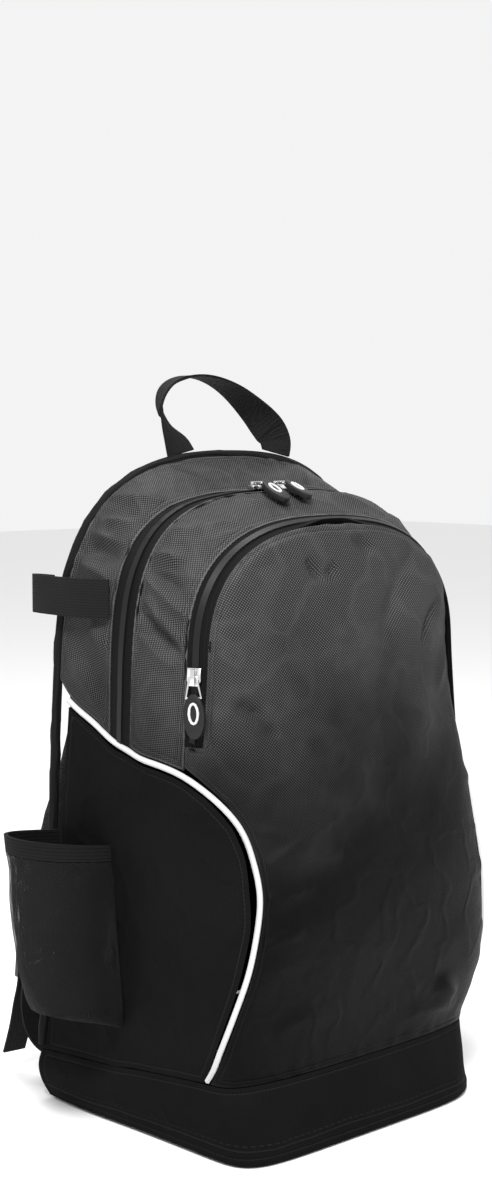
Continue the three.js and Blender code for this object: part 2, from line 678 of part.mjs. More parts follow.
// The base: a tray of heavy cloth whose rim meets the body's base seam.
function baseRing(level, inset) {
  const ring = [];
  const rim = [];
  for (let i = 0; i <= 13; i += 1) rim.push(skin(-1, 2 - 2 * (i / 13), 0).point);
  for (let i = 1; i < 8; i += 1) rim.push(backSkin(-1 + i / 4, 0, 0));
  for (let i = 13; i > 0; i -= 1) rim.push(skin(1, 2 - 2 * (i / 13), 0).point);
  for (const p of rim) {
    const a = Math.atan2(p.y / bagDepth, p.x / baseWidth);
    const reach = (Math.abs(Math.cos(a)) ** footSquare + Math.abs(Math.sin(a)) ** footSquare) ** (-1 / footSquare);
    const foot = vec(Math.cos(a) * reach * baseWidth / 2, Math.sin(a) * reach * bagDepth / 2, 0);
    const rearward = clamp(0.5 + p.y / bagDepth, 0, 1) * Math.abs(p.x) / (baseWidth / 2);
    const flare = footFlare * rearward ** 2;
    foot.x += Math.sign(foot.x) * flare;
    foot.y += flare;
    const belly = Math.sin(Math.PI * level) * (2.5 + 4 * rearward);
    const q = foot.lerp(vec(p.x, p.y, 0), smooth(clamp(level, 0, 1)) * 0.6 + level * 0.4);
    const grown = (q.length() + belly - inset) / q.length();
    const z = lerp(0, p.z - seamGap / 2, level);
    ring.push(vec(q.x * grown, q.y * grown, z));
  }
  return ring;
}

function stack(rings, bottom, top) {
  const n = rings[0].length;
  const vertices = [bottom, ...rings.flat(), top].flatMap((p) => [p.x, p.y, p.z]);
  const faces = [];
  const at = (i, j) => 1 + i * n + (j % n);
  for (let j = 0; j < n; j += 1) faces.push(0, at(0, j + 1), at(0, j));
  for (let i = 0; i < rings.length - 1; i += 1) for (let j = 0; j < n; j += 1) {
    faces.push(at(i, j), at(i, j + 1), at(i + 1, j + 1), at(i, j), at(i + 1, j + 1), at(i + 1, j));
  }
  const last = rings.length * n + 1;
  for (let j = 0; j < n; j += 1) faces.push(last, at(rings.length - 1, j), at(rings.length - 1, j + 1));
  return meshOf(vertices, faces);
}

function baseTray() {
  const outer = [0, 0.07, 0.35, 0.7, 1].map((level) => baseRing(level, level === 0 ? 2 : 0));
  const inner = [1, 0.7, 0.35, 0.08].map((level) => baseRing(level, baseWall));
  for (const p of inner[3]) p.z = baseWall;
  for (const p of outer[1]) p.z = 2;
  return stack([...outer, ...inner], vec(0, 0, 0), vec(0, 0, baseWall));
}
add('base', baseTray(), materials.canvas);

// An open pocket: the cloth leaves the side panel, rounds the bottle's place and comes back to it.
// around runs 0 to 1 from the rear seam to the front seam, rise 0 to 1 from the floor to the rim.
const pocketSquare = 2.35;
const pocketLine = [
  { rise: 0, rear: 0.13, front: 0.4, up: 0.062 },
  { rise: 0.15, rear: 0.105, front: 0.42, up: 0.1 },
  { rise: 0.5, rear: 0.08, front: 0.385, up: 0.19 },
  { rise: 1, rear: 0.045, front: 0.34, up: 0.322 },
];
function pocketSkin(side, around, rise, inset) {
  const a = Math.PI * around;
  const across = (1 - Math.sign(Math.cos(a)) * Math.abs(Math.cos(a)) ** (2 / pocketSquare)) / 2;
  const rear = fromTable(pocketLine, 'rise', 'rear', rise) + stepTo(0.2, inset);
  const front = fromTable(pocketLine, 'rise', 'front', rise) - stepTo(0.4, inset);
  const lift = 0.018 * Math.sin(a) * rise + inset * (1 - clamp(rise / 0.3, 0, 1)) / bagHeight;
  const s = skin(side, lerp(rear, front, across), fromTable(pocketLine, 'rise', 'up', rise) + lift);
  const filled = Math.sin(quarter * clamp(rise / 0.16, 0, 1)) ** 0.7;
  const reach = (pocketStand - 10 * (1 - rise)) * filled * Math.sin(a) ** (2 / pocketSquare);
  const out = vec(s.normal.x, 0, 0).normalize();
  return s.point.addScaledVector(s.normal, pocketGap).addScaledVector(out, Math.max(reach - inset, 0));
}

function pocketPart(side, from, to, rows, thickness) {
  const layer = (inset) => {
    const grid = [];
    for (let i = 0; i <= rows; i += 1) {
      const row = [];
      for (let j = 0; j <= 12; j += 1) row.push(pocketSkin(side, j / 12, lerp(from, to, i / rows), inset));
      grid.push(row);
    }
    return grid;
  };
  return shell(layer(0), layer(thickness));
}

// Share of the half arch at which the skin is at a height.
function upAt(along, z) {
  let low = 0;
  let high = 1;
  for (let i = 0; i < 24; i += 1) {
    const middle = (low + high) / 2;
    if (plainSkin(along, middle).z < z) low = middle;
    else high = middle;
  }
  return low;
}

// A webbing loop that lies off the gusset, folds behind the back seam and comes back to it.
const batLoopHeight = 377;
function batLoop(side) {
  const clear = fitGap + webbingWall / 2;
  const out = vec(side, 0, 0);
  const points = [];
  const front = ribs.mainRear.along - 0.02;
  for (const [share, stand] of [[0, 0.12], [0.12, 0.5], [0.3, 0.85], [0.6, 1], [0.95, 1]]) {
    const along = front * (1 - share);
    const s = skin(side, along, upAt(along, batLoopHeight));
    points.push(s.point.addScaledVector(out, clear + stand * batLoopStand));
  }
  const rear = skin(side, 0, upAt(0, batLoopHeight));
  const fold = rear.point.clone().addScaledVector(out, clear + batLoopStand * 0.6);
  for (const [back, off] of [[10, 2.9], [20, 2.1], [27, 0.9], [29.5, -1.3], [27, -3.4], [18, -4.4], [9, -4.2]]) {
    points.push(fold.clone().add(vec(side * off, back, 0)));
  }
  return strip(points, points.map(() => vec(0, 0, 1)), batLoopWebbing, webbingWall);
}

for (const [word, side] of [['left', -1], ['right', 1]]) {
  const split = 1 - pocketBinding / 145;
  add(`mesh_pocket_${word}`, pocketPart(side, 0, split - seamGap / 145, 7, pocketWall), materials.mesh);
  add(`pocket_binding_${word}`, pocketPart(side, split, 1, 1, bindingWall), materials.tape);
  add(`bat_loop_${word}`, batLoop(side), materials.webbing);
}

// The haul handle: webbing from one side of the back seam's top to the other. across is a share of
// half handleSpan, back of handleBack and up of handleRise, counted from the seam's top. turn is the
// direction across the webbing, degrees from the viewer's right towards the back.
const handlePath = [
  { across: -1, back: 0.04, up: 0, turn: 0 },
  { across: -1.043, back: 0.15, up: 0.158, turn: 12 },
  { across: -1.106, back: 0.37, up: 0.351, turn: 42 },
  { across: -1.106, back: 0.63, up: 0.596, turn: 58 },
  { across: -0.894, back: 0.85, up: 0.842, turn: 64 },
  { across: -0.511, back: 1, up: 0.982, turn: 70 },
  { across: -0.064, back: 1, up: 1, turn: 80 },
  { across: 0.404, back: 0.89, up: 0.86, turn: 94 },
  { across: 0.787, back: 0.63, up: 0.579, turn: 110 },
  { across: 1, back: 0.33, up: 0.316, turn: 134 },
  { across: 1.043, back: 0.15, up: 0.158, turn: 164 },
  { across: 1, back: 0.04, up: 0, turn: 180 },
];

function haulHandle() {
  const seamTop = bagDepth * ribs.back.yTop;
  const route = handlePath.map((p) => vec(
    (p.across * handleSpan) / 2,
    seamTop + p.back * handleBack,
    bagHeight + 2 * seamGap + p.up * handleRise,
  ));
  const curve = new THREE.CatmullRomCurve3(route, false, 'centripetal');
  const points = [];
  const wides = [];
  for (let i = 0; i <= 26; i += 1) {
    const t = i / 26;
    points.push(curve.getPoint(t));
    const k = Math.min(Math.floor(t * (handlePath.length - 1)), handlePath.length - 2);
    const turn = lerp(handlePath[k].turn, handlePath[k + 1].turn, t * (handlePath.length - 1) - k);
    const a = THREE.MathUtils.degToRad(turn);
    wides.push(vec(Math.cos(a), Math.sin(a), 0.15 * Math.cos(Math.PI * t)));
  }
  return strip(points, wides, handleWebbing, webbingWall);
}
add('haul_handle', haulHandle(), materials.webbing);

// Zip pulls. A frame has y along the chain, z out of the cloth and its origin on the cloth.
function frameAt(side, along, up, turn, lift = 0) {
  const s = skin(side, along, up);
  const ahead = skin(side, along, up + 0.01).point.sub(skin(side, along, up - 0.01).point);
  const z = s.normal.clone();
  const y = ahead.addScaledVector(z, -ahead.dot(z)).normalize().applyAxisAngle(z, THREE.MathUtils.degToRad(turn));
  const frame = new THREE.Matrix4().makeBasis(y.clone().cross(z), y, z);
  return frame.setPosition(s.point.addScaledVector(z, lift));
}

function oval(width, length, x = 0, y = 0) {
  return new THREE.Shape().absellipse(x, y, width / 2, length / 2, 0, 2 * Math.PI);
}

function slab(shape, thickness, z, segments = 5) {
  const geometry = new THREE.ExtrudeGeometry(shape, { depth: thickness, bevelEnabled: false, curveSegments: segments });
  return geometry.translate(0, 0, z);
}

function box(x, y, z, cx, cy, cz) {
  return new THREE.BoxGeometry(x, y, z).translate(cx, cy, cz);
}

const sliderFloor = 3 * fitGap;
const bailFloor = sliderFloor + sliderHeight;
const linkFloor = bailFloor + (bailHeight - linkWire) / 2;

function sliderBody() {
  const shield = new THREE.Shape([
    [-0.5, 0.5], [-0.5, -0.2], [-0.33, -0.5], [0.33, -0.5], [0.5, -0.2], [0.5, 0.5],
  ].map(([x, y]) => new THREE.Vector2(x * sliderWidth, y * sliderLength)));
  const groove = chainRise + 2 * fitGap;
  return cut(
    joined(slab(shield, sliderHeight, sliderFloor), box(bailWidth, bailLength, bailHeight + 0.4, 0, 0, bailFloor + bailHeight / 2 - 0.2)),
    box(chainWidth + 2 * fitGap, 2 * sliderLength, 2 * groove, 0, 0, 0),
    box(2 * bailWidth, bailLength - 2.6, linkWire + 2 * fitGap, 0, 0, linkFloor + linkWire / 2),
  );
}

function linkShape(grow) {
  const half = linkWire / 2 + grow;
  const outline = (inset) => [
    [-0.27 * linkWidth + inset, inset], [0.27 * linkWidth - inset, inset],
    [0.5 * linkWidth - inset, linkLength - inset], [-0.5 * linkWidth + inset, linkLength - inset],
  ].map(([x, y]) => new THREE.Vector2(x, y - linkWire / 2));
  const shape = new THREE.Shape(outline(-half + linkWire / 2));
  shape.holes.push(new THREE.Path(outline(half + linkWire / 2)));
  return shape;
}

function pull(name, side, along, up, place) {
  const { turn, pitch, droop, roll } = place;
  const body = frameAt(side, along, up, 0);
  add(`${name}_slider`, sliderBody().applyMatrix4(body), materials.metal);
  // The link turns in the bail; the tab follows it.
  const swing = new THREE.Matrix4().makeTranslation(0, 0, linkFloor)
    .multiply(new THREE.Matrix4().makeRotationZ(THREE.MathUtils.degToRad(180 + turn)))
    .multiply(new THREE.Matrix4().makeRotationX(THREE.MathUtils.degToRad(pitch)));
  const link = body.clone().multiply(swing);
  add(`${name}_link`, slab(linkShape(0), linkWire, 0).applyMatrix4(link), materials.metal);
  // The tab turns on the link's far bar.
  const bar = linkLength - linkWire;
  const tabFrame = link.clone().multiply(new THREE.Matrix4().makeTranslation(0, bar, linkWire / 2))
    .multiply(new THREE.Matrix4().makeRotationX(THREE.MathUtils.degToRad(droop)))
    .multiply(new THREE.Matrix4().makeRotationY(THREE.MathUtils.degToRad(roll)))
    .multiply(new THREE.Matrix4().makeTranslation(0, -bar, -linkWire / 2));
  const tabStart = linkLength - linkBite;
  const tab = slab(oval(tabWidth, tabLength, 0, tabStart + tabLength / 2), tabThickness, linkWire / 2 - tabThickness / 2, 7);
  const groove = slab(linkShape(fitGap), linkWire + 2 * fitGap, -fitGap);
  const ringY = tabStart + linkBite + 1.5 + ringLength / 2;
  const top = linkWire / 2 + tabThickness / 2;
  const seat = slab(oval(ringWidth + 2 * fitGap, ringLength + 2 * fitGap, 0, ringY), tabThickness, top - ringSink - fitGap, 6);
  const body3 = cut(tab, seat).applyMatrix4(tabFrame);
  add(`${name}_tab`, cut(body3, groove.applyMatrix4(link)), materials.rubber);
  const ring = oval(ringWidth, ringLength, 0, ringY);
  ring.holes.push(oval(ringWidth - 2 * ringBand, ringLength - 2 * ringBand, 0, ringY));
  add(`${name}_ring`, slab(ring, ringSink + ringRaise, top - ringSink, 6).applyMatrix4(tabFrame), materials.ring);
}

pull('front_pull', -1, frontChain, 0.6, { turn: 6, pitch: 4, droop: 0, roll: 0 });
pull('main_pull_left', -1, mainChain, 0.963, { turn: 80, pitch: 0, droop: -24, roll: -8 });
pull('main_pull_right', 1, mainChain, 0.9945, { turn: -100, pitch: 0, droop: -20, roll: -12 });

// Shoulder straps: padded from the top of the back panel down, then webbing to the base's corners.
// across is a share of half the bag's width, out of strapStand behind the bound seam and up of the
// bag's height.
const strapPath = [
  { across: 0.303, out: 0.52, up: 0.844 },
  { across: 0.352, out: 0.8, up: 0.759 },
  { across: 0.415, out: 0.92, up: 0.643 },
  { across: 0.500, out: 0.92, up: 0.517 },
  { across: 0.620, out: 0.92, up: 0.401 },
  { across: 0.732, out: 0.96, up: 0.306 },
  { across: 0.782, out: 1, up: 0.241 },
];

// Middle of a strap that lies flat on the back panel at a height.
function onBack(side, x, z) {
  const up = upAt(0, z);
  const half = rimPoint(1, up, rimInset).x;
  const across = clamp((side * x) / half, -0.9, 0.9);
  const point = backSkin(across, up, rimInset);
  return vec(side * x - leanAt(z), point.y + strapPadding / 2 + fitGap, z);
}

function strapPoint(side, p) {
  const z = p.up * bagHeight;
  const share = (z - ribs.back.zSeam) / (bagHeight - ribs.back.zSeam);
  const back = bagDepth * lerp(ribs.back.ySeam, ribs.back.yTop, share);
  return vec((side * p.across * bagWidth) / 2 - leanAt(z), back + p.out * strapStand, z);
}

function shoulderStrap(side) {
  const sewn = [0.932, 0.895].map((up) => onBack(side, strapPath[0].across * bagWidth * 0.49, up * bagHeight));
  const path = [...sewn, ...strapPath.map((p) => strapPoint(side, p))];
  const points = new THREE.CatmullRomCurve3(path, false, 'centripetal').getPoints(18);
  const wides = points.map(() => vec(1, 0, 0));
  const width = (t) => strapWidth * (1 - 0.5 * smooth(clamp((t - 0.7) / 0.3, 0, 1)));
  return strip(points, wides, width, strapPadding, 0.35);
}

// The ladder lock hangs under the pad. Its frame has y up the strap and z away from the back.
function lockFrame(side) {
  const end = strapPoint(side, strapPath[strapPath.length - 1]);
  const x = vec(-1, 0, 0);
  const y = vec(0, -0.12, 1).normalize();
  const frame = new THREE.Matrix4().makeBasis(x, y, x.clone().cross(y));
  return frame.setPosition(end.addScaledVector(y, -lockLength / 2 - lockDrop));
}

const lockSlot = (lockLength - 3 * lockBar) / 2;
const slotCentre = (lockSlot + lockBar) / 2;
const webbingOut = lockThickness / 2 + fitGap + webbingWall / 2;

function lockBody() {
  const slot = (y) => box(strapWebbing + 1.6, lockSlot, 2 * lockThickness, 0, y, 0);
  return cut(box(lockWidth, lockLength, lockThickness, 0, 0, 0), slot(slotCentre), slot(-slotCentre));
}

// Webbing that turns around a bar: from is on the -z side, to on the +z side, all in the frame.
function aroundBar(bar, turnAt, from, to) {
  const near = Math.sign(turnAt - bar);
  return [
    ...from,
    vec(0, bar - near * lockBar * 0.4, -webbingOut),
    vec(0, lerp(bar, turnAt, 0.72), -webbingOut * 0.93),
    vec(0, turnAt, -webbingOut * 0.42),
    vec(0, turnAt, webbingOut * 0.42),
    vec(0, lerp(bar, turnAt, 0.72), webbingOut * 0.93),
    vec(0, bar - near * lockBar * 0.4, webbingOut),
    ...to,
  ];
}

function strapLoop(frame) {
  const bar = (lockLength - lockBar) / 2;
  const turnAt = bar - lockBar / 2 - fitGap - webbingWall / 2;
  const high = lockLength / 2 + lockDrop - loopClear;
  const line = aroundBar(bar, turnAt, [vec(0, high, -webbingOut + loopPinch)], [vec(0, high, webbingOut - loopPinch)]);
  return strip(line.map((p) => p.applyMatrix4(frame)), line.map(() => vec(1, 0, 0).transformDirection(frame)), strapWebbing, webbingWall);
}

function backOfBase(x, z) {
  const ring = baseRing(z / ribs.back.zSeam, 0).filter((p) => p.y > 0).sort((a, b) => a.x - b.x);
  const i = Math.max(1, ring.findIndex((p) => p.x > x));
  return lerp(ring[i - 1].y, ring[i].y, (x - ring[i - 1].x) / (ring[i].x - ring[i - 1].x));
}

// The webbing from the base to the lock: shares of strapStand from where it is sewn on.
const webbingPath = [
  { out: 0.0, back: 0.0, up: 0.0 },
  { out: 0.0, back: 0.2, up: 0.0 },
  { out: 0.1, back: 0.42, up: 0.02 },
  { out: 0.25, back: 0.6, up: 0.12 },
  { out: 0.35, back: 0.69, up: 0.32 },
  { out: 0.4, back: 0.72, up: 0.56 },
  { out: 0.4, back: 0.72, up: 0.88 },
];

// The loose tail below the lock: out in shares of strapWebbing, the others of lockLength.
const webbingTail = [
  { out: 0.0, down: 0.9, back: 0.0 },
  { out: 0.1, down: 1.4, back: 0.04 },
  { out: 0.1, down: 1.9, back: 0.1 },
  { out: 0.1, down: 2.4, back: 0.2 },
  { out: 0.15, down: 3.15, back: 0.36 },
];

function lowerLine(side, frame) {
  const bar = -(lockLength - lockBar) / 2;
  const turnAt = bar + lockBar / 2 + fitGap + webbingWall / 2;
  const inverse = frame.clone().invert();
  const sewnAt = webbingAt * (baseWidth / 2);
  const reach = (k) => backOfBase(side * (sewnAt + (k * strapWebbing) / 2), webbingSewn + webbingWall);
  const y = Math.max(...[-1, 0, 1].map(reach)) + fitGap;
  const out = webbingPath
    .map((p) => vec(side * (sewnAt + p.out * strapStand), y + p.back * strapStand, webbingSewn + p.up * strapStand))
    .map((p) => p.applyMatrix4(inverse));
  const tail = webbingTail
    .map((p) => vec(-side * p.out * strapWebbing, -p.down * lockLength, webbingOut + p.back * lockLength));
  const line = aroundBar(bar, turnAt, out, tail).map((p) => p.applyMatrix4(frame));
  const wides = line.map((p, i) => vec(-1, webbingTwist * side * Math.sin(Math.PI * clamp(i / 6, 0, 1)), 0));
  return { line, wides };
}

for (const [word, side] of [['left', -1], ['right', 1]]) {
  const frame = lockFrame(side);
  const { line, wides } = lowerLine(side, frame);
  add(`shoulder_strap_${word}`, shoulderStrap(side), materials.padding);
  add(`ladder_lock_${word}`, lockBody().applyMatrix4(frame), materials.buckle);
  add(`strap_loop_${word}`, strapLoop(frame), materials.webbing);
  add(`lower_webbing_${word}`, strip(line, wides, strapWebbing, webbingWall), materials.webbing);
  const sleeve = (from, to, grow) => strip(
    [from, to].map((share) => line[2].clone().lerp(line[3], share)),
    wides.slice(2, 4), strapWebbing + 2 * grow, webbingWall + 2 * grow,
  );
  add(`webbing_sleeve_${word}`, cut(sleeve(0.15, 0.75, 2.2), sleeve(-0.5, 1.5, 1.2)), materials.trim);
}

export default backpack;
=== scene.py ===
import json
import math

import bmesh
import bpy
import numpy as np
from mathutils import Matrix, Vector, noise
from mathutils.geometry import intersect_point_line
from mathutils.kdtree import KDTree


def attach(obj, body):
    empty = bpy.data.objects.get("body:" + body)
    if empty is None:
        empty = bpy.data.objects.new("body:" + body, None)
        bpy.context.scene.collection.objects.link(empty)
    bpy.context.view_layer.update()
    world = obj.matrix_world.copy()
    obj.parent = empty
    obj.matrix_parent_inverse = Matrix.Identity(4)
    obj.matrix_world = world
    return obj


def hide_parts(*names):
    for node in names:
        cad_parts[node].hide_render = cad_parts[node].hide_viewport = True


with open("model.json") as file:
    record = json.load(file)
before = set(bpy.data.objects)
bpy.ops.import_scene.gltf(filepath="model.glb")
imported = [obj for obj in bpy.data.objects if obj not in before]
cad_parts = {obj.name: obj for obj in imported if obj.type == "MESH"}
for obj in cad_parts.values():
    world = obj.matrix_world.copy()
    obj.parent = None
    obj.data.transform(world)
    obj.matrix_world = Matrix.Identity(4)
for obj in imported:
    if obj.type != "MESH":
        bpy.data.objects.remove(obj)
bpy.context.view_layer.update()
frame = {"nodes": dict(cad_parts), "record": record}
nodes = frame["nodes"]
bagMiddle = np.array([-0.002, 0.012, 0.21])  # a point inside the bag, to tell outside from inside
print("frame loaded:", len(nodes), "nodes")

# how every piece of cloth is handled: angles in degrees, fades in mm, weld in metres
sewing = {
    "weld": 2e-5, "faceTurn": 50, "shapeTurn": 75,  # merging a copy and making its faces four-sided
    "hard": 45, "seam": 35, "stripEnd": 38, "soft": 60,  # which edges stay hard, part a seam or end
    "seamFade": 0.5, "gatherFade": 2, "floorFade": 2,  # how near seams and floor it keeps still
    "foldEnd": 0.45,  # width of a fold at its ends, as a share of that in its middle
    "ridge": 2.4, "ridgePower": 3,  # how narrow the ridges of crumpled cloth are
    "wrap": 0.8,  # share of a strip's height that is laid flat beside its width
    "endTuck": 2,  # how many times further its ends are tucked in than its sides
}


# small helpers for picking, copying and finishing pieces

def deselect():
    bpy.ops.object.select_all(action="DESELECT")


def activate(piece):
    deselect()
    piece.select_set(True)
    bpy.context.view_layer.objects.active = piece


def newPiece(name, mesh):
    piece = bpy.data.objects.new(name, mesh)
    bpy.context.scene.collection.objects.link(piece)
    return piece


def finishWith(piece, kind, **settings):
    activate(piece)
    modifier = piece.modifiers.new(kind.title(), kind)
    for key, value in settings.items():
        setattr(modifier, key, value)
    bpy.ops.object.modifier_apply(modifier=modifier.name)


def smooth(piece, angle):
    activate(piece)
    bpy.ops.object.shade_smooth_by_angle(angle=math.radians(angle))


def coords(piece, what="co"):
    values = np.empty(len(piece.data.vertices) * 3)
    piece.data.vertices.foreach_get(what, values)
    return values.reshape(-1, 3)


def setCoords(piece, places):
    piece.data.vertices.foreach_set("co", places.ravel())
    piece.data.update()


def solidCopy(name, node, quads=True):
    # a merged copy of a node of the frame, with four-sided faces where it can have them
    mesh = nodes[node].data.copy()
    mesh.materials.clear()
    piece = newPiece(name, mesh)
    activate(piece)
    bpy.ops.object.mode_set(mode="EDIT")
    bpy.ops.mesh.select_all(action="SELECT")
    bpy.ops.mesh.remove_doubles(threshold=sewing["weld"])
    if quads:
        limits = [math.radians(sewing[key]) for key in ("faceTurn", "shapeTurn")]
        bpy.ops.mesh.tris_convert_to_quads(face_threshold=limits[0], shape_threshold=limits[1])
    bpy.ops.object.mode_set(mode="OBJECT")
    if mesh.has_custom_normals:
        bpy.ops.mesh.customdata_custom_splitnormals_clear()
    return piece


def creaseSharp(piece, angle):
    # edges that turn hard stay hard when the piece is subdivided, and part the cut shapes
    shape = bmesh.new()
    shape.from_mesh(piece.data)
    layers = shape.edges.layers.float
    crease = layers.get("crease_edge") or layers.new("crease_edge")
    for edge in shape.edges:
        hard = len(edge.link_faces) != 2 or edge.calc_face_angle(0) > math.radians(angle)
        edge[crease] = 1.0 if hard else 0.0
        edge.seam = hard
    shape.to_mesh(piece.data)
    shape.free()


def layWeave(piece, grain):
    # lays each cloth face flat as it was cut, in metres, with its grain along an axis of the bag
    activate(piece)
    bpy.ops.object.mode_set(mode="EDIT")
    bpy.ops.mesh.select_all(action="SELECT")
    bpy.ops.uv.unwrap(method="ANGLE_BASED", margin=0.02)
    bpy.ops.object.mode_set(mode="OBJECT")
    shape = bmesh.new()
    shape.from_mesh(piece.data)
    layer = shape.loops.layers.uv.active
    seen = set()
    for start in shape.faces:
        if start in seen:
            continue
        island = [start]
        seen.add(start)
        for face in island:
            for edge in face.edges:
                if not edge.seam:
                    fresh = [f for f in edge.link_faces if f not in seen]
                    seen.update(fresh)
                    island.extend(fresh)
        corners = [loop for face in island for loop in face.loops]
        flat = np.array([loop[layer].uv[:] for loop in corners])
        place = np.array([loop.vert.co[:] for loop in corners])
        cut = 0.0
        for face in island:
            ring = [loop[layer].uv for loop in face.loops]
            cut += abs(sum(a.x * b.y - b.x * a.y for a, b in zip(ring, ring[1:] + ring[:1]))) / 2
        size = math.sqrt(sum(face.calc_area() for face in island) / max(cut, 1e-12))
        slope = np.linalg.lstsq(np.c_[flat, np.ones(len(flat))], place[:, grain], rcond=None)[0][:2]
        turn = math.atan2(slope[0], slope[1])
        spin = np.array([[math.cos(turn), -math.sin(turn)], [math.sin(turn), math.cos(turn)]])
        for loop, (u, v) in zip(corners, flat @ spin.T * size):
            loop[layer].uv = (u, v)
    shape.to_mesh(piece.data)
    shape.free()
    piece.data.uv_layers.active.name = "weave"


def seamLines(piece):
    # the edges where a piece turns hard, as lines, with the length run along them from their start
    shape = bmesh.new()
    shape.from_mesh(piece.data)
    shape.verts.ensure_lookup_table()
    links = {}
    for edge in shape.edges:
        if edge.calc_face_angle(0) > math.radians(sewing["seam"]):
            one, two = edge.verts
            links.setdefault(one.index, []).append(two.index)
            links.setdefault(two.index, []).append(one.index)
    places = {i: shape.verts[i].co.copy() for i in links}
    shape.free()
    run = {}
    for start in sorted(links, key=lambda i: len(links[i]) == 2):
        if start in run:
            continue
        run[start] = 0.0
        waiting = [start]
        while waiting:
            here = waiting.pop()
            for other in links[here]:
                if other not in run:
                    run[other] = run[here] + (places[other] - places[here]).length
                    waiting.append(other)
    return links, places, run


def hemOf(piece):
    # for each point: the nearest point of the seams, how far off it is and the length run there
    links, places, run = seamLines(piece)
    order = sorted(places)
    tree = KDTree(len(order))
    for i in order:
        tree.insert(places[i], i)
    tree.balance()
    hem, far, along = [], [], []
    for vert in piece.data.vertices:
        spot, near, gap = tree.find(vert.co)
        best = (gap, spot, run[near])
        for other in links[near]:
            foot, share = intersect_point_line(vert.co, places[near], places[other])
            if 0 < share < 1 and (foot - vert.co).length < best[0]:
                best = ((foot - vert.co).length, foot, run[near] + share * (run[other] - run[near]))
        far.append(best[0])
        hem.append(best[1][:])
        along.append(best[2])
    return np.array(hem), np.array(far), np.array(along)


def note(piece, name, values):
    # keeps a number for each point of a piece, for its material
    kept = piece.data.attributes.new(name, "FLOAT", "POINT")
    kept.data.foreach_set("value", values.astype(np.float32))


def ease(values, low, high):
    share = np.clip((values - low) / (high - low), 0, 1)
    return share * share * (3 - 2 * share)


def noiseAt(places, wave, seed):
    shift = Vector((seed * 3.7, seed * 1.3, seed * 7.1))
    return np.array([noise.noise(Vector(p) / wave + shift) for p in places])


def foldRise(places, outward, fold):
    # height of one fold over each point; its path, half widths and height are in mm
    path = np.array(fold["path"]) / 1000
    legs = np.diff(path, axis=0)
    spans = np.linalg.norm(legs, axis=1)
    ends = np.concatenate([[0], np.cumsum(spans)])
    best = np.full(len(places), np.inf)
    offset = np.zeros(len(places))
    along = np.zeros(len(places))
    for i, (start, leg, span) in enumerate(zip(path, legs, spans)):
        t = np.clip((places - start) @ leg / span**2, 0, 1)
        off = places - (start + t[:, None] * leg)
        far = np.linalg.norm(off, axis=1)
        side = np.sign(np.einsum("ij,ij->i", np.cross(leg / span, outward), off))
        near = far < best
        best = np.where(near, far, best)
        offset = np.where(near, far * side, offset)
        along = np.where(near, (ends[i] + t * span) / ends[-1], along)
    low, high = np.array(fold["wide"]) / 1000
    lens = np.sin(np.pi * np.clip(along, 0, 1)) ** fold["taper"]
    end = sewing["foldEnd"]
    wide = np.where(offset < 0, low, high) * (end + (1 - end) * lens)
    return fold["high"] / 1000 * lens * np.exp(-(np.abs(offset / wide) ** fold["crisp"]))


def crumple(piece, look):
    # pushes the cloth out and in, all in mm: folds, slack and ridges between the seams, where
    # they fade out over the hem, and gathers beside the seams; it fades out near the floor too
    places = coords(piece)
    normals = coords(piece, "normal")
    outer = np.einsum("ij,ij->i", normals, places - bagMiddle) > 0
    outward = np.where(outer[:, None], normals, -normals)
    hem, far, along = hemOf(piece)
    note(piece, "hem", far * 1000)
    note(piece, "run", along * 1000)
    rise = np.zeros(len(places))
    for fold in look.get("folds", []):
        rise += foldRise(places, outward, fold) * look.get("deep", 1)
    for wave, high, seed in look.get("slack", []):
        rise += high / 1000 * noiseAt(places, wave / 1000, seed)
    for wave, high, seed in look.get("ridges", []):
        swell = 1 - np.abs(noiseAt(places, wave / 1000, seed)) * sewing["ridge"]
        rise += high / 1000 * np.clip(swell, 0, 1) ** sewing["ridgePower"]
    rise *= ease(far, sewing["seamFade"] / 1000, look["hem"] / 1000)
    for wave, high, reach, seed in look.get("gathers", []):
        near = np.exp(-far / (reach / 1000)) * ease(far, 0, sewing["gatherFade"] / 1000)
        rise += high / 1000 * near * noiseAt(hem, wave / 1000, seed)
    if "floor" in look:
        rise *= ease(places[:, 2], sewing["floorFade"] / 1000, look["floor"] / 1000)
    setCoords(piece, places + outward * rise[:, None])


def ringsOf(shape):
    # the rings of points of a strip, from its left or lower end to the other
    regions = []
    seen = set()
    for start in shape.faces:
        if start in seen:
            continue
        region = [start]
        seen.add(start)
        for face in region:
            for edge in face.edges:
                if edge.calc_face_angle(0) < math.radians(sewing["stripEnd"]):
                    fresh = [f for f in edge.link_faces if f not in seen]
                    seen.update(fresh)
                    region.extend(fresh)
        regions.append(region)
    ends = sorted(regions, key=lambda region: sum(face.calc_area() for face in region))[:2]
    ends = [{vert for face in end for vert in face.verts} for end in ends]
    ring = min(ends, key=lambda end: min(vert.co.x for vert in end))
    rings = []
    done = set(ring)
    while ring:
        rings.append(sorted(ring, key=lambda vert: vert.index))
        ring = {e.other_vert(v) for v in ring for e in v.link_edges} - done
        done |= ring
    return rings


def strandOf(shape):
    # middles, directions across and lengths run of a strip's rings
    rings = ringsOf(shape)
    middles = np.array([np.mean([vert.co[:] for vert in ring], axis=0) for ring in rings])
    run = np.concatenate([[0], np.cumsum(np.linalg.norm(np.diff(middles, axis=0), axis=1))])
    across = []
    for ring, middle in zip(rings, middles):
        spread = np.array([vert.co[:] for vert in ring]) - middle
        way = np.linalg.svd(spread, full_matrices=False)[2][0]
        across.append(-way if across and way @ across[-1] < 0 else way)
    return rings, middles, np.array(across), run


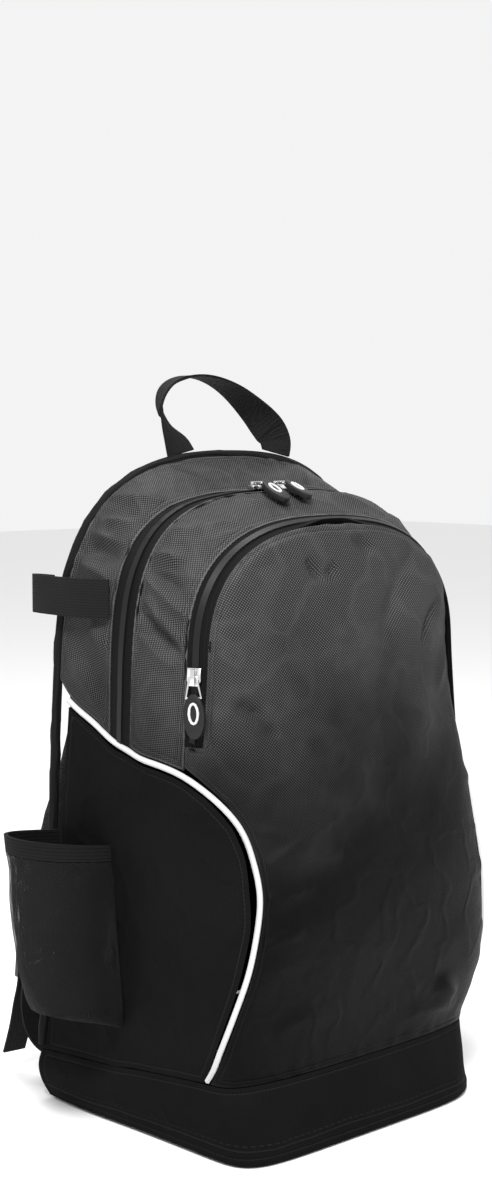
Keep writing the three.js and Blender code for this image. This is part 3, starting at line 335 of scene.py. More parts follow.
def layAlong(piece, tuck):
    # lays a strip's weave along its length, in metres, and tucks its sides and ends, by a length
    # in mm, under what is beside them
    shape = bmesh.new()
    shape.from_mesh(piece.data)
    rings, middles, across, run = strandOf(shape)
    ahead = np.gradient(middles, axis=0)
    ahead /= np.linalg.norm(ahead, axis=1)[:, None]
    place = {}
    last = len(rings) - 1
    for k, ring in enumerate(rings):
        up = np.cross(ahead[k], across[k])
        for vert in ring:
            off = np.array(vert.co) - middles[k]
            place[vert.index] = (run[k], off @ across[k] + sewing["wrap"] * (off @ up))
            vert.co += Vector(across[k] * (np.sign(off @ across[k]) * tuck / 1000))
            if k in (0, last):
                vert.co += Vector(ahead[k] * (np.sign(k - 0.5) * sewing["endTuck"] * tuck / 1000))
    layer = shape.loops.layers.uv.new("weave")
    for face in shape.faces:
        for loop in face.loops:
            loop[layer].uv = place.get(loop.vert.index, (0, 0))
    shape.to_mesh(piece.data)
    shape.free()


def clothPanel(name, node, look, finish):
    # one cut panel of the bag: smooth, crumpled and with its weave laid on it
    piece = solidCopy(name, node)
    creaseSharp(piece, look.get("sharp", sewing["hard"]))
    if look["grain"] == "along":
        layAlong(piece, look.get("tuck", 0))
    else:
        layWeave(piece, look["grain"])
    rounds = look["levels"]
    if look.get("tight"):
        # the first round only splits the faces, so that a curved edge keeps its place
        finishWith(piece, "SUBSURF", subdivision_type="SIMPLE", levels=1, render_levels=1)
        rounds -= 1
    finishWith(piece, "SUBSURF", levels=rounds, render_levels=rounds)
    if look.get("grow"):
        finishWith(piece, "DISPLACE", strength=look["grow"] / 1000, mid_level=0)
    crumple(piece, look)
    smooth(piece, sewing["soft"])
    piece.data.materials.append(finish)
    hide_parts(node)
    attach(piece, "root")


# shader maths: a wrapped socket can be added, multiplied and so on

class Wire:
    def __init__(self, finish, socket):
        self.finish = finish
        self.socket = socket

    def maths(self, operation, *values):
        return self.finish.node("ShaderNodeMath", {"operation": operation}, dict(enumerate(values)))

    def __add__(self, other):
        return self.maths("ADD", self, other)

    __radd__ = __add__

    def __sub__(self, other):
        return self.maths("SUBTRACT", self, other)

    def __rsub__(self, other):
        return self.maths("SUBTRACT", other, self)

    def __mul__(self, other):
        return self.maths("MULTIPLY", self, other)

    __rmul__ = __mul__

    def sine(self):
        return self.maths("SINE", self)

    def size(self):
        return self.maths("ABSOLUTE", self)

    def most(self, other):
        return self.maths("MAXIMUM", self, other)

    def ramp(self, low, high):
        return self.finish.node(
            "ShaderNodeMapRange",
            {"interpolation_type": "SMOOTHSTEP"},
            {"Value": self, "From Min": low, "From Max": high},
        )


# a row of stitches and the groove that it pulls, in mm, but the gap is a share of a stitch
stitch = {"pitch": 3.0, "wide": 0.42, "gap": (0.3, 0.5), "pulled": 1.0, "soft": 0.8}


class Finish:
    def __init__(self, name, **shader):
        self.material = bpy.data.materials.new(name)
        self.material.use_nodes = True
        self.tree = self.material.node_tree
        self.shader = self.tree.nodes["Principled BSDF"]
        for key, value in shader.items():
            self.shader.inputs[key].default_value = value

    def node(self, kind, settings=None, sockets=None, out=0):
        made = self.tree.nodes.new(kind)
        for key, value in (settings or {}).items():
            setattr(made, key, value)
        for key, value in (sockets or {}).items():
            if isinstance(value, Wire):
                self.tree.links.new(value.socket, made.inputs[key])
            else:
                made.inputs[key].default_value = value
        return Wire(self, made.outputs[out])

    def plug(self, key, wire):
        self.tree.links.new(wire.socket, self.shader.inputs[key])

    def place(self):
        return self.node("ShaderNodeTexCoord", out="Object")

    def split(self, vector):
        return [self.node("ShaderNodeSeparateXYZ", {}, {0: vector}, out) for out in (0, 1, 2)]

    def weave(self):
        # the cloth's own two directions, in millimetres
        u, v, _ = self.split(self.node("ShaderNodeUVMap", {"uv_map": "weave"}))
        return u * 1000, v * 1000

    def noted(self, name):
        return self.node("ShaderNodeAttribute", {"attribute_name": name}, out="Fac")

    def cloud(self, where, scale, detail=3, rough=0.55):
        sockets = {"Vector": where, "Scale": scale, "Detail": detail, "Roughness": rough}
        return self.node("ShaderNodeTexNoise", {}, sockets)

    def creases(self, where, scale, wide):
        # thin lines that wander over the cloth
        return 1 - (self.cloud(where, scale, 2, 0.4) * 2 - 1).size().ramp(0.0, wide)

    def blend(self, share, low, high):
        ends = {6: low, 7: high}
        sockets = {key: end if isinstance(end, Wire) else (*end, 1) for key, end in ends.items()}
        return self.node("ShaderNodeMix", {"data_type": "RGBA"}, {0: share, **sockets}, out=2)

    def stitches(self, inset):
        # a row of stitches at a distance from the hem, 1 on the thread and 0 beside it
        wide = stitch["wide"]
        row = 1 - (self.noted("hem") - inset).size().ramp(wide * 0.6, wide)
        dash = (self.noted("run") * (math.pi / stitch["pitch"])).sine().size()
        return row * dash.ramp(*stitch["gap"])

    def band(self, low, high, soft=0.25):
        # 1 between two distances from the hem
        far = self.noted("hem")
        return far.ramp(low - soft, low + soft) * (1 - far.ramp(high - soft, high + soft))

    def relief(self, height, depth, under=None):
        # depth in millimetres
        sockets = {"Height": height, "Distance": depth / 1000, "Strength": 1.0}
        if under is not None:
            sockets["Normal"] = under
        return self.node("ShaderNodeBump", {}, sockets)

    def sewnDown(self, inset, depth, under):
        # the groove that a row of stitches pulls into the cloth
        low, high = inset - stitch["pulled"], inset + stitch["pulled"]
        return self.relief(1 - self.band(low, high, stitch["soft"]), depth, under)


def grey(value):
    return (value, value, value * 1.01)


# finishes: greys run from 0 to 1, lengths are in mm, and noise has Blender's own scale

# low is the painted shade near the base; middle and high are the ground and the dots where painted
# light falls near the top; hemLine is the hem's colour there; fade gives the heights in metres
# between them
ripstopLook = {
    "low": 0.0012, "middle": 0.008, "high": 0.108, "hemLine": 0.085, "gloss": 0.4, "level": 0.07,
    "pitch": 2.1, "thread": 0.42, "sewn": 4.2, "hem": (0.5, 1.3), "fade": (0.2, 0.4),
    "patches": 9.0, "creases": (26.0, 0.16), "wrinkles": 60.0,
    "wrinkleDepth": 0.6, "sewnDepth": 0.5, "weaveDepth": 0.16,
}


def ripstopFinish(name, edged):
    # shiny woven cloth with rows of light dots; painted light and shade on its colour make it
    # lighter near the top and on the left, and darker towards the base of the bag where less light
    # falls
    look = ripstopLook
    finish = Finish(name, **{"Roughness": 0.5, "Specular IOR Level": look["level"]})
    u, v = finish.weave()
    beat = 2 * math.pi / look["pitch"]
    dots = ((u * beat).sine() * (v * beat).sine()).ramp(0.0, 0.85)
    fine = 2 * math.pi / look["thread"]
    threads = (u * fine).sine() * (v * fine).sine() * 0.5 + 0.5
    where = finish.place()
    x, _, high = finish.split(where)
    patch = finish.cloud(where, look["patches"], 4)
    creases = finish.creases(where, *look["creases"])
    # painted light and shade: 0 where painted shade darkens the cloth near the base, 1 where
    # painted light brightens it near the top, reached a little lower on the left
    up = (high - x * 0.2 + (patch - 0.5) * 0.2).ramp(*look["fade"])
    ground = finish.blend(up, grey(look["low"] * 0.5), grey(look["middle"]))
    spots = finish.blend(up, grey(look["low"] * 1.7), grey(look["high"]))
    # the crease lines are a little lighter in colour: a painted highlight along them
    share = dots * 0.85 + threads * 0.08 + creases * 0.06 + (patch - 0.5) * 0.3
    cloth = finish.blend(share, ground, spots)
    # the light hem gets the same painted light and shade
    edge = finish.blend(up, grey(look["hemLine"] * 0.16), grey(look["hemLine"]))
    hemmed = finish.blend(finish.band(*look["hem"]) * edged, cloth, edge)
    finish.plug("Base Color", finish.blend(finish.stitches(look["sewn"]) * 0.35, hemmed, edge))
    finish.plug("Roughness", look["gloss"] + 0.1 - dots * 0.1 + (patch - 0.5) * 0.14)
    wrinkles = creases * 0.7 + finish.cloud(where, look["wrinkles"], 3)
    fold = finish.relief(wrinkles, look["wrinkleDepth"])
    fold = finish.sewnDown(look["sewn"], look["sewnDepth"], fold)
    finish.plug("Normal", finish.relief(dots * 0.8 + threads * 0.25, look["weaveDepth"], fold))
    return finish.material


canvasLook = {
    "rough": 0.85, "level": 0.05, "sewn": 4.0,
    "patches": 14.0, "fuzz": 900.0, "creases": (22.0, 0.14), "wrinkles": 48.0,
    "wrinkleDepth": 0.8, "sewnDepth": 0.45, "weaveDepth": 0.12,
    "weltDrift": 5, "weltDepth": 1.1, "weltThread": 3.4,
}


def canvasFinish(name, shade, pitch=0.9, welt=0):
    # plain black cloth; with a welt, a low ridge runs round at that height in mm, sewn above
    look = canvasLook
    finish = Finish(name, **{"Roughness": look["rough"], "Specular IOR Level": look["level"]})
    u, v = finish.weave()
    beat = 2 * math.pi / pitch
    over = ((u + v) * (beat / 2)).sine() * ((u - v) * (beat / 2)).sine()
    where = finish.place()
    patch = finish.cloud(where, look["patches"], 4)
    fuzz = finish.cloud(where, look["fuzz"], 2)
    creases = finish.creases(where, *look["creases"])
    share = over * 0.25 + (patch - 0.5) * 0.9 + (fuzz - 0.5) * 0.5 + 0.5
    cloth = finish.blend(share, grey(shade * 0.5), grey(shade * 1.5))
    cloth = finish.blend(finish.stitches(look["sewn"]) * 0.6, cloth, grey(shade * 4))
    wrinkles = creases * 0.6 + finish.cloud(where, look["wrinkles"], 3)
    fold = finish.relief(wrinkles, look["wrinkleDepth"])
    fold = finish.sewnDown(look["sewn"], look["sewnDepth"], fold)
    if welt:
        drift = (finish.cloud(where, 12.0, 1) - 0.5) * look["weltDrift"]
        rise = finish.split(where)[2] * 1000 + drift - welt
        line = 1 - rise.size().ramp(0.2, 0.8)
        row = 1 - (rise - look["weltThread"]).size().ramp(0.2, 0.5)
        sewn = row * (u * 1.1).sine().ramp(-0.5, 0.0)
        cloth = finish.blend(line * 0.7 + sewn * 0.5, cloth, grey(shade * 4.5))
        fold = finish.relief(rise.ramp(-1.2, 1.2), look["weltDepth"], fold)
    finish.plug("Base Color", cloth)
    finish.plug("Normal", finish.relief(over * 0.5 + fuzz * 0.6, look["weaveDepth"], fold))
    return finish.material


padLook = {"shade": 0.012, "pitch": 3.2, "hole": 0.9, "depth": 0.5, "rough": 0.9, "level": 0.14}


def padFinish():
    # knitted spacer cloth with small round holes, laid on the bag's width and height
    look = padLook
    shader = {"Roughness": look["rough"], "Specular IOR Level": look["level"], "Sheen Weight": 0.05}
    finish = Finish("black spacer cloth", **shader)
    where = finish.place()
    x, y, z = finish.split(where)
    beat = 1000 * math.pi / look["pitch"]
    one = ((x + y * 0.4) * beat).sine() * (z * beat).sine()
    two = ((x + y * 0.4) * beat + math.pi / 2).sine() * (z * beat + math.pi / 2).sine()
    holes = one.size().most(two.size()).ramp(0.75, look["hole"])
    patch = finish.cloud(where, 12.0, 3)
    share = (patch - 0.5) * 0.7 + 0.5 - holes * 0.45
    low, high = grey(look["shade"] * 0.45), grey(look["shade"] * 1.7)
    finish.plug("Base Color", finish.blend(share, low, high))
    finish.plug("Normal", finish.relief(1 - holes, look["depth"]))
    return finish.material


def webbingFinish(name, shade, rib=1.9, pick=1.1):
    # ribs run along the strap, with picks across it
    finish = Finish(name, **{"Roughness": 0.75, "Specular IOR Level": 0.12})
    u, v = finish.weave()
    ribs = (v * (2 * math.pi / rib)).sine()
    picks = (u * (2 * math.pi / pick) + ribs * 1.3).sine()
    patch = finish.cloud(finish.place(), 30.0, 3)
    share = ribs * 0.22 + picks * 0.2 + (patch - 0.5) * 0.5 + 0.5
    finish.plug("Base Color", finish.blend(share, grey(shade * 0.5), grey(shade * 1.6)))
    finish.plug("Normal", finish.relief(ribs * 0.5 + picks * 0.45, 0.22))
    return finish.material


netLook = {
    "low": 0.005, "high": 0.012, "pitch": 1.7, "squat": 0.58, "hole": (0.72, 0.84), "depth": 0.3,
}


def netFinish():
    # rows of small open holes, each row set half a hole along from the next
    look = netLook
    finish = Finish("black net", **{"Roughness": 0.75, "Specular IOR Level": 0.12})
    u, v = finish.weave()
    pitch = look["pitch"]
    beat = math.pi / pitch
    one = ((u * beat).sine() * (v * beat * look["squat"]).sine()).size()
    along, up = (u + pitch / 2) * beat, (v + pitch * 0.86) * beat
    two = (along.sine() * (up * look["squat"]).sine()).size()
    gap = one.most(two)
    patch = finish.cloud(finish.place(), 16.0, 3)
    finish.plug("Base Color", finish.blend(patch, grey(look["low"]), grey(look["high"])))
    finish.plug("Alpha", 1 - gap.ramp(*look["hole"]))
    finish.plug("Normal", finish.relief(1 - gap, look["depth"]))
    return finish.material


def plainFinish(name, colour, rough, metal=0.0, level=0.4, grain=400.0, depth=0.02, spread=0.15):
    # a hard or smooth thing: one colour that varies a little, and a fine grain
    finish = Finish(name, **{"Roughness": rough, "Metallic": metal, "Specular IOR Level": level})
    where = finish.place()
    fine = finish.cloud(where, grain, 3)
    wide = finish.cloud(where, 45.0, 3)
    low = tuple(c * (1 - spread) for c in colour)
    high = tuple(min(1, c * (1 + spread)) for c in colour)
    finish.plug("Base Color", finish.blend(wide, low, high))
    finish.plug("Roughness", fine * 0.2 + (rough - 0.1))
    finish.plug("Normal", finish.relief(fine, depth))
    return finish.material


ripstop = ripstopFinish("grey ripstop", 0.25)
ripstopEdged = ripstopFinish("grey ripstop with light hems", 0.8)
canvas = canvasFinish("black canvas", 0.0044)
baseCanvas = canvasFinish("black base canvas", 0.0042, pitch=1.1, welt=11)
padding = padFinish()
tape = webbingFinish("black zip tape", 0.0024, rib=1.5, pick=0.8)
webbing = webbingFinish("black webbing", 0.007)
binding = webbingFinish("black binding", 0.0055, rib=2.4, pick=0.9)
net = netFinish()
pipingWhite = plainFinish(
    "white piping", (0.52, 0.52, 0.53), 0.5, grain=700, depth=0.08, spread=0.12
)
chrome = plainFinish("bright metal", (0.74, 0.74, 0.75), 0.22, metal=1.0, grain=300)
rubber = plainFinish("black rubber", (0.009, 0.009, 0.0095), 0.5, level=0.25, grain=900, depth=0.04)
inlay = plainFinish("white inlay", (0.5, 0.5, 0.51), 0.4, spread=0.05)
lightTab = plainFinish("light grey tab", (0.42, 0.42, 0.42), 0.8, grain=900, depth=0.1)
plastic = plainFinish(
    "black plastic", (0.009, 0.009, 0.0095), 0.4, level=0.3, grain=600, depth=0.03
)
coil = plainFinish("black nylon coil", (0.007, 0.007, 0.0073), 0.4, level=0.2, grain=900)
print("finishes made")


# the bag's panels

def fold(path, wide, high, crisp=1.5, taper=0.6):
    # one fold: the line of its ridge, its half widths on the two sides and its height, in mm
    return {"path": path, "wide": wide, "high": high, "crisp": crisp, "taper": taper}


frontFolds = [
    fold([(-43, -78, 406), (-36, -81, 397), (-27, -84, 390)], (4, 6), -2.4, 1.3),
    fold([(-27, -84, 390), (-22, -82, 395), (-17, -80, 401)], (5, 4), -2.0, 1.3),
    fold([(67, -74, 407), (41, -85, 379), (25, -91, 359), (14, -95, 341)], (9, 12), -2.6),
    fold([(94, -77, 371), (76, -85, 354), (60, -90, 337)], (3, 7), -2.2, 1.1),
    fold([(4, -72, 416), (15, -75, 413), (26, -77, 409)], (5, 6), -1.6),
    fold([(-115, -81, 313), (-105, -87, 308), (-93, -91, 303)], (5, 6), -2.4),
    fold([(-101, -89, 300), (-91, -92, 295), (-83, -95, 291)], (4, 6), -2.2),
    fold([(-118, -80, 304), (-105, -88, 300), (-90, -93, 294)], (3, 4), 2.0, 1.2),
    fold([(-99, -96, 203), (-68, -102, 220), (-35, -106, 233)], (5, 5), 2.0, 1.2),
    fold([(-106, -91, 229), (-93, -95, 226), (-78, -99, 220)], (4, 4), 1.8, 1.2),
    fold([(-100, -95, 203), (-73, -103, 205), (-36, -108, 206)], (4, 5), 1.8, 1.2),
    fold([(-104, -97, 180), (-84, -102, 184), (-60, -106, 186)], (4, 5), 1.3, 1.2),
    fold([(-104, -99, 150), (-88, -102, 156), (-70, -105, 158)], (4, 5), 1.3, 1.2),
    fold([(69, -102, 97), (80, -100, 88), (92, -96, 78)], (6, 9), 1.8),
    fold([(-90, -97, 90), (-70, -103, 96), (-30, -109, 92)], (6, 8), 1.4),
    fold([(10, -104, 70), (50, -102, 76), (96, -92, 72)], (6, 8), 1.3),
    fold([(-60, -96, 372), (-30, -98, 352), (10, -99, 340)], (9, 7), 1.5),
    fold([(20, -98, 300), (60, -98, 288), (100, -88, 282)], (8, 10), 1.6),
    fold([(104, -74, 340), (98, -80, 320), (84, -90, 300)], (5, 6), 1.5),
]
frontGussetFolds = [
    fold([(-127, -14, 409), (-123, -29, 407), (-118, -41, 404)], (4, 5), 2.2, 1.2),
    fold([(-133, -15, 393), (-132, -35, 381), (-127, -54, 367)], (4, 6), 3.0, 1.2),
    fold([(-136, -16, 381), (-133, -36, 365), (-130, -52, 349)], (4, 5), 2.8, 1.2),
    fold([(-138, -13, 357), (-135, -29, 344), (-132, -45, 333)], (5, 6), 2.6, 1.2),
    fold([(-134, -14, 400), (-130, -34, 392), (-124, -46, 384)], (4, 4), -1.8),
    fold([(-137, -14, 370), (-135, -34, 355), (-131, -50, 341)], (3, 4), -2.6),
    fold([(-114, -20, 425), (-107, -26, 423), (-99, -37, 420)], (5, 5), 1.8, 1.2),
    fold([(-60, -24, 446), (-50, -34, 441), (-36, -40, 438)], (5, 6), 1.4),
    fold([(30, -24, 446), (44, -34, 440), (60, -40, 436)], (5, 6), 1.4),
    fold([(98, -18, 430), (106, -28, 422), (110, -40, 414)], (5, 5), 1.8, 1.2),
    fold([(128, -14, 402), (128, -32, 388), (125, -50, 372)], (4, 6), 2.6, 1.2),
    fold([(134, -14, 366), (131, -32, 354), (128, -48, 338)], (4, 6), 2.4, 1.2),
]
backGussetFolds = [
    fold([(-73, 42, 463), (-59, 28, 456), (-48, 12, 451)], (7, 8), 1.8),
    fold([(-114, 50, 444), (-106, 28, 443), (-94, 11, 441)], (5, 6), 2.2, 1.3),
    fold([(-124, 44, 429), (-122, 29, 428), (-118, 15, 427)], (4, 5), 2.0, 1.2),
    fold([(-131, 50, 422), (-128, 32, 417), (-127, 13, 413)], (4, 5), 2.2, 1.2),
    fold([(-134, 48, 412), (-132, 32, 408), (-130, 14, 403)], (5, 5), -2.0),
    fold([(-139, 50, 400), (-139, 33, 396), (-139, 19, 390)], (5, 6), 2.0, 1.2),
    fold([(-144, 33, 356), (-144, 24, 350), (-142, 14, 343)], (6, 7), 2.0),
    fold([(-144, 60, 340), (-145, 40, 322), (-144, 22, 300)], (6, 8), 1.8),
    fold([(60, 42, 462), (52, 28, 458), (40, 12, 452)], (7, 8), 1.6),
    fold([(118, 50, 440), (110, 28, 438), (104, 12, 436)], (5, 6), 2.0, 1.3),
    fold([(140, 50, 398), (140, 33, 392), (138, 16, 386)], (5, 6), 2.0, 1.2),
    fold([(145, 50, 350), (144, 36, 340), (142, 16, 326)], (6, 7), 2.0),
]
sideFolds = [
    [(112, -30, 96), (124, -2, 110), (130, 30, 118)],
    [(122, -40, 196), (130, -16, 204), (134, 10, 214)],
    [(128, 84, 150), (134, 60, 132), (134, 30, 118)],
    [(126, 88, 226), (134, 60, 236), (137, 30, 240)],
]
baseFolds = [
    fold([(-54, -94, 47), (-72, -98, 30), (-96, -99, 6)], (4, 9), 2.2, 1.1, 0.3),
    fold([(-100, -86, 50), (-104, -88, 30), (-106, -88, 6)], (6, 7), 1.6, 1.2, 0.3),
    fold([(-118, -60, 40), (-122, -20, 24), (-124, 10, 14)], (5, 8), 1.6),
    fold([(-128, 40, 36), (-130, 66, 26), (-128, 90, 20)], (5, 7), 1.6),
    fold([(0, -103, 34), (40, -103, 26), (84, -99, 30)], (5, 7), 1.2),
    fold([(118, -60, 36), (124, -20, 28), (126, 20, 18)], (5, 8), 1.6),
]


def sidePanelFolds(side):
    return [fold([(side * x, y, z) for x, y, z in path], (7, 9), 2.0, 1.3) for path in sideFolds]


# slack and ridges are (wave, height, seed), and gathers (wave, height, reach, seed), in mm
panels = {
    "front_panel": {
        "levels": 3, "grain": 2, "slot": "grey_ripstop", "hem": 8, "folds": frontFolds, "deep": 2.6,
        "slack": [(95, 2.4, 1), (45, 0.4, 2)], "ridges": [(90, 0.5, 31)],
        "gathers": [(9, 1.8, 10, 3)],
    },
    "front_gusset": {
        "levels": 3, "grain": 1, "slot": "grey_ripstop", "hem": 3, "folds": frontGussetFolds,
        "deep": 2.2, "slack": [(60, 2.2, 4), (24, 0.9, 5)], "ridges": [(30, 0.8, 32)],
        "gathers": [(8, 1.5, 7, 6)],
    },
    "back_gusset": {
        "levels": 3, "grain": 1, "slot": "grey_ripstop", "hem": 3, "folds": backGussetFolds,
        "deep": 2.2, "slack": [(70, 2.4, 7), (26, 1.0, 8)], "ridges": [(34, 0.8, 33)],
        "gathers": [(9, 1.7, 8, 9)],
    },
    "side_panel_left": {
        "levels": 3, "grain": 2, "slot": "black_canvas", "hem": 7, "folds": sidePanelFolds(-1),
        "tight": True, "slack": [(80, 2.6, 10), (30, 1.0, 11)], "ridges": [(44, 0.8, 34)],
        "gathers": [(12, 1.2, 9, 12)],
    },
    "side_panel_right": {
        "levels": 3, "grain": 2, "slot": "black_canvas", "hem": 7, "folds": sidePanelFolds(1),
        "tight": True, "slack": [(80, 2.6, 13), (30, 1.0, 14)], "ridges": [(44, 0.8, 35)],
        "gathers": [(12, 1.2, 9, 15)],
    },
    "base": {
        "levels": 3, "grain": 2, "slot": "black_canvas", "hem": 5, "folds": baseFolds,
        "floor": 12, "sharp": 32, "slack": [(70, 2.0, 16), (26, 0.8, 17)],
        "gathers": [(12, 1.0, 8, 18)],
    },
    "mesh_pocket_left": {
        "levels": 2, "grain": 2, "slot": "black_mesh", "hem": 6,
        "slack": [(50, 2.4, 19), (20, 0.9, 20)],
    },
    "mesh_pocket_right": {
        "levels": 2, "grain": 2, "slot": "black_mesh", "hem": 6,
        "slack": [(50, 2.4, 21), (20, 0.9, 22)],
    },
}
panelFinish = {"grey_ripstop": ripstopEdged, "black_canvas": canvas, "black_mesh": net}
for name, look in panels.items():
    finish = {"front_panel": ripstop, "base": baseCanvas}.get(name, panelFinish[look["slot"]])
    clothPanel("cloth_" + name, name, look, finish)
print("panels made")


# straps, tapes and bindings, which keep their flat form

strips = {
    "main_zip_tape_rear": (2, tape), "main_zip_tape_front": (2, tape),
    "front_zip_tape_rear": (2, tape), "front_zip_tape_front": (2, tape),
    "main_zip_chain": (1, coil), "front_zip_chain": (1, coil),
    "bound_seam": (2, binding), "piping_left": (2, pipingWhite), "piping_right": (2, pipingWhite),
    "haul_handle": (3, webbing), "pocket_binding_left": (3, binding),
    "pocket_binding_right": (3, binding), "bat_loop_left": (3, webbing),
    "bat_loop_right": (3, webbing), "strap_loop_left": (2, webbing),
    "strap_loop_right": (2, webbing), "lower_webbing_left": (2, webbing),
    "lower_webbing_right": (2, webbing), "webbing_sleeve_left": (2, lightTab),
    "webbing_sleeve_right": (2, lightTab),
}
proud = {"bound_seam": 1.3, "piping_left": 0.05, "piping_right": 0.05}  # how far it swells, in mm
lumpy = {"bound_seam": [(16, 1.4, 41), (6, 0.5, 42)], "haul_handle": [(20, 0.8, 43)]}
tapeTuck = 2.6  # how far a zip's tapes reach under the cloth beside them, in mm
slotOf = {item["node"]: item["material_slot"] for item in frame["record"]["subparts"]}
for node, (levels, finish) in strips.items():
    look = {
        "levels": levels, "slot": slotOf[node], "sharp": 38, "hem": 0.6,
        "grain": 0 if "sleeve" in node else "along", "tuck": tapeTuck if "zip_tape" in node else 0,
        "grow": proud.get(node, 0), "slack": lumpy.get(node, []),
    }
    clothPanel("dressed_" + node, node, look, finish)
print("strips made")

# the zips' coils: one small tooth, copied along the middle of each chain, all in mm
tooth = {
    "pitch": 1.25, "long": 4.6, "radius": 0.5, "edge": 0.15, "lift": 0.35,
    "wide": 0.85, "high": 0.9,  # shares of its round form
}


def zipCoil(name, node):
    chain = solidCopy(name + "_line", node)
    shape = bmesh.new()
    shape.from_mesh(chain.data)
    _, middles, across, run = strandOf(shape)
    shape.free()
    bpy.data.objects.remove(chain)
    deselect()
    radius, long = tooth["radius"] / 1000, tooth["long"] / 1000
    bpy.ops.mesh.primitive_cylinder_add(vertices=6, radius=radius, depth=long)
    one = bpy.context.object
    finishWith(one, "BEVEL", width=tooth["edge"] / 1000, segments=1)
    pin = coords(one).copy() * np.array([tooth["wide"], tooth["high"], 1])
    sides = [list(face.vertices) for face in one.data.polygons]
    bpy.data.objects.remove(one)
    points, faces = [], []
    spots = np.arange(0.5 * tooth["pitch"], run[-1] * 1000, tooth["pitch"]) / 1000
    for spot in spots:
        k = min(max(int(np.searchsorted(run, spot)), 1), len(run) - 1)
        share = (spot - run[k - 1]) / (run[k] - run[k - 1])
        middle = middles[k - 1] * (1 - share) + middles[k] * share
        side = across[k - 1] * (1 - share) + across[k] * share
        ahead = middles[k] - middles[k - 1]
        ahead /= np.linalg.norm(ahead)
        side = side - ahead * (side @ ahead)
        side /= np.linalg.norm(side)
        up = np.cross(ahead, side)
        if up @ (middle - bagMiddle) < 0:
            up = -up
        faces += [[len(points) + i for i in face] for face in sides]
        points += list(middle + up * tooth["lift"] / 1000 + pin @ np.array([ahead, up, side]))
    mesh = bpy.data.meshes.new(name)
    mesh.from_pydata([tuple(p) for p in points], [], faces)
    piece = newPiece(name, mesh)
    activate(piece)
    bpy.ops.object.mode_set(mode="EDIT")
    bpy.ops.mesh.select_all(action="SELECT")
    bpy.ops.mesh.normals_make_consistent(inside=False)
    bpy.ops.object.mode_set(mode="OBJECT")
    smooth(piece, 40)
    piece.data.materials.append(coil)
    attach(piece, "root")


for name in ("main_zip", "front_zip"):
    zipCoil(name + "_teeth", name + "_chain")
print("zip teeth made")

# the padded back and straps, in mm: made a little smaller, then blown up by a cloth simulation
pads = {
    "back_panel": {"voxel": 5.0, "cap": 3.0, "shrink": 0.6, "fill": 0.7},
    "shoulder_strap_left": {"voxel": 4.0, "cap": 2.4, "shrink": 1.0, "fill": 0.7},
    "shoulder_strap_right": {"voxel": 4.0, "cap": 2.4, "shrink": 1.0, "fill": 0.7},
}
puffing = {"quality": 4, "pressure": 4, "frames": 20}

# the channels sewn into the back panel, in metres: two upright ones and one across between them,
# which follow the bag's lean over its height
channels = {
    "deep": 0.0022, "wide": 0.004, "aside": 0.043, "across": 0.33, "lean": 0.004, "tall": 0.474,
}


def puff(piece, look):
    activate(piece)
    start = coords(piece).copy()
    cloth = piece.modifiers.new("Cloth", "CLOTH")
    cloth.settings.quality = puffing["quality"]
    cloth.settings.use_pressure = True
    cloth.settings.uniform_pressure_force = puffing["pressure"]
    cloth.settings.effector_weights.gravity = 0
    for step in range(puffing["frames"]):
        bpy.context.scene.frame_set(step + 1)
    blown = piece.evaluated_get(bpy.context.evaluated_depsgraph_get()).to_mesh()
    ends = np.empty(len(blown.vertices) * 3)
    blown.vertices.foreach_get("co", ends)
    piece.modifiers.remove(cloth)
    bpy.context.scene.frame_set(1)
    move = ends.reshape(-1, 3) - start
    far = np.linalg.norm(move, axis=1)[:, None]
    cap = look["cap"] / 1000
    setCoords(piece, start + move * np.minimum(1, cap / np.maximum(far, 1e-9)))


def sewChannels(piece):
    look = channels
    places, normals = coords(piece), coords(piece, "normal")
    z = places[:, 2]
    aside = np.abs(places[:, 0] + look["lean"] * z / look["tall"])
    upright = np.abs(aside - look["aside"])
    level = np.where(aside < look["aside"], np.abs(z - look["across"]), 1)
    depth = sum(np.exp(-((line / look["wide"]) ** 2)) for line in (upright, level))
    setCoords(piece, places - normals * (look["deep"] * depth)[:, None])


for node, look in pads.items():
    piece = solidCopy("padded_" + node, node, quads=False)
    finishWith(piece, "REMESH", mode="VOXEL", voxel_size=look["voxel"] / 1000)
    finishWith(piece, "DISPLACE", strength=-look["shrink"] / 1000, mid_level=0)
    puff(piece, look)
    finishWith(piece, "SUBSURF", levels=1, render_levels=1)
    if node == "back_panel":
        sewChannels(piece)
    smooth(piece, sewing["soft"])
    piece.data.materials.append(padding)
    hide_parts(node)
    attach(piece, "root")
print("pads made")

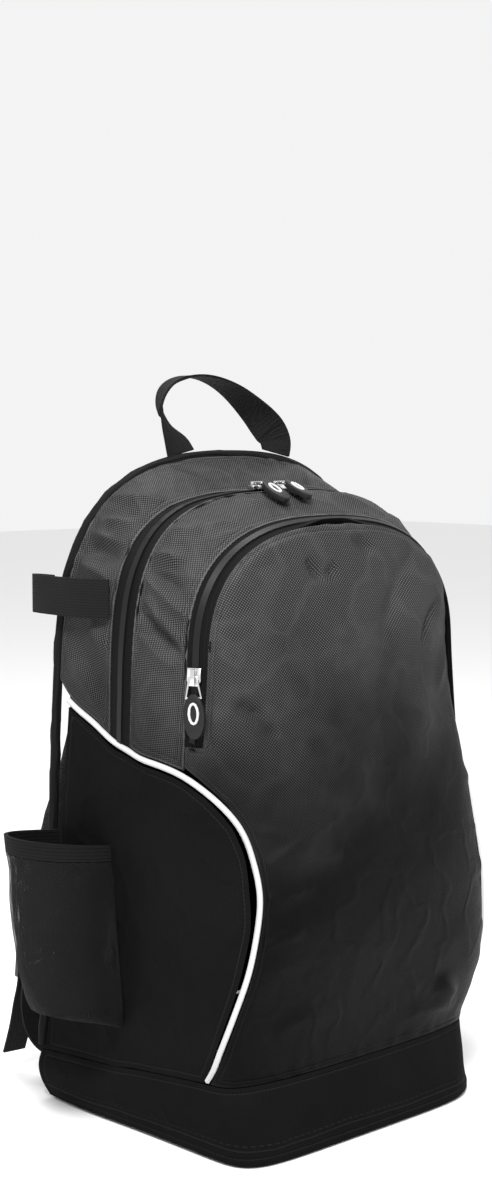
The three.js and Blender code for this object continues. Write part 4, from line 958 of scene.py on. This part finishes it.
# hard pieces with their edges broken
hard = {"_slider": chrome, "_link": chrome, "_tab": rubber, "_ring": inlay, "ladder_lock": plastic}
broken = {"width": 0.0004, "segments": 2, "limit_method": "ANGLE", "angle_limit": math.radians(30)}
for node in nodes:
    for key, finish in hard.items():
        if key in node:
            piece = solidCopy("fine_" + node, node)
            finishWith(piece, "BEVEL", **broken)
            smooth(piece, 40)
            piece.data.materials.append(finish)
            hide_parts(node)
            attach(piece, "root")
print("hard pieces made")


# floor, light and camera

studio = {
    "camera": (-0.9165, -0.9866, 0.4869), "tilt": 85.25, "turn": -41.99, "lens": 56.54,
    "clip": (0.05, 40), "world": 0.9, "floorSize": 14, "floorHigh": -0.0006, "floorGrey": 0.86,
}
lamps = {
    "key": {"place": (-1.1, -1.0, 2.0), "aim": (0, 0, 0.25), "size": 0.7, "power": 66.0},
    "fill": {"place": (1.8, -1.0, 0.9), "aim": (0, 0, 0.25), "size": 1.6, "power": 3.0},
    "top": {"place": (0.2, 0.5, 2.0), "aim": (0, 0, 0.3), "size": 1.0, "power": 20.0},
}


def softLight(name, look):
    lamp = bpy.data.lights.new(name, "AREA")
    lamp.shape = "DISK"
    lamp.size = look["size"]
    lamp.energy = look["power"]
    light = bpy.data.objects.new(name, lamp)
    bpy.context.scene.collection.objects.link(light)
    light.location = look["place"]
    way = Vector(look["aim"]) - Vector(look["place"])
    light.rotation_euler = way.to_track_quat("-Z", "Y").to_euler()


deselect()
bpy.ops.mesh.primitive_plane_add(size=studio["floorSize"], location=(0, 0, studio["floorHigh"]))
floor = bpy.context.object
floor.name = "studio_floor"
pale = (studio["floorGrey"],) * 3 + (1,)
floor.data.materials.append(Finish("pale floor", **{"Base Color": pale, "Roughness": 0.8}).material)
for name, look in lamps.items():
    softLight(name, look)
world = bpy.data.worlds.new("studio")
world.use_nodes = True
sky = world.node_tree.nodes["Background"]
sky.inputs["Color"].default_value = (1, 1, 1, 1)
sky.inputs["Strength"].default_value = studio["world"]
bpy.context.scene.world = world

camera = bpy.data.objects.new("camera", bpy.data.cameras.new("camera"))
bpy.context.scene.collection.objects.link(camera)
camera.location = studio["camera"]
camera.rotation_euler = [math.radians(a) for a in (studio["tilt"], 0, studio["turn"])]
camera.data.lens = studio["lens"]
camera.data.clip_start, camera.data.clip_end = studio["clip"]
bpy.context.scene.camera = camera

bpy.context.scene.view_settings.view_transform = "Standard"  # a white ground, as in the photo
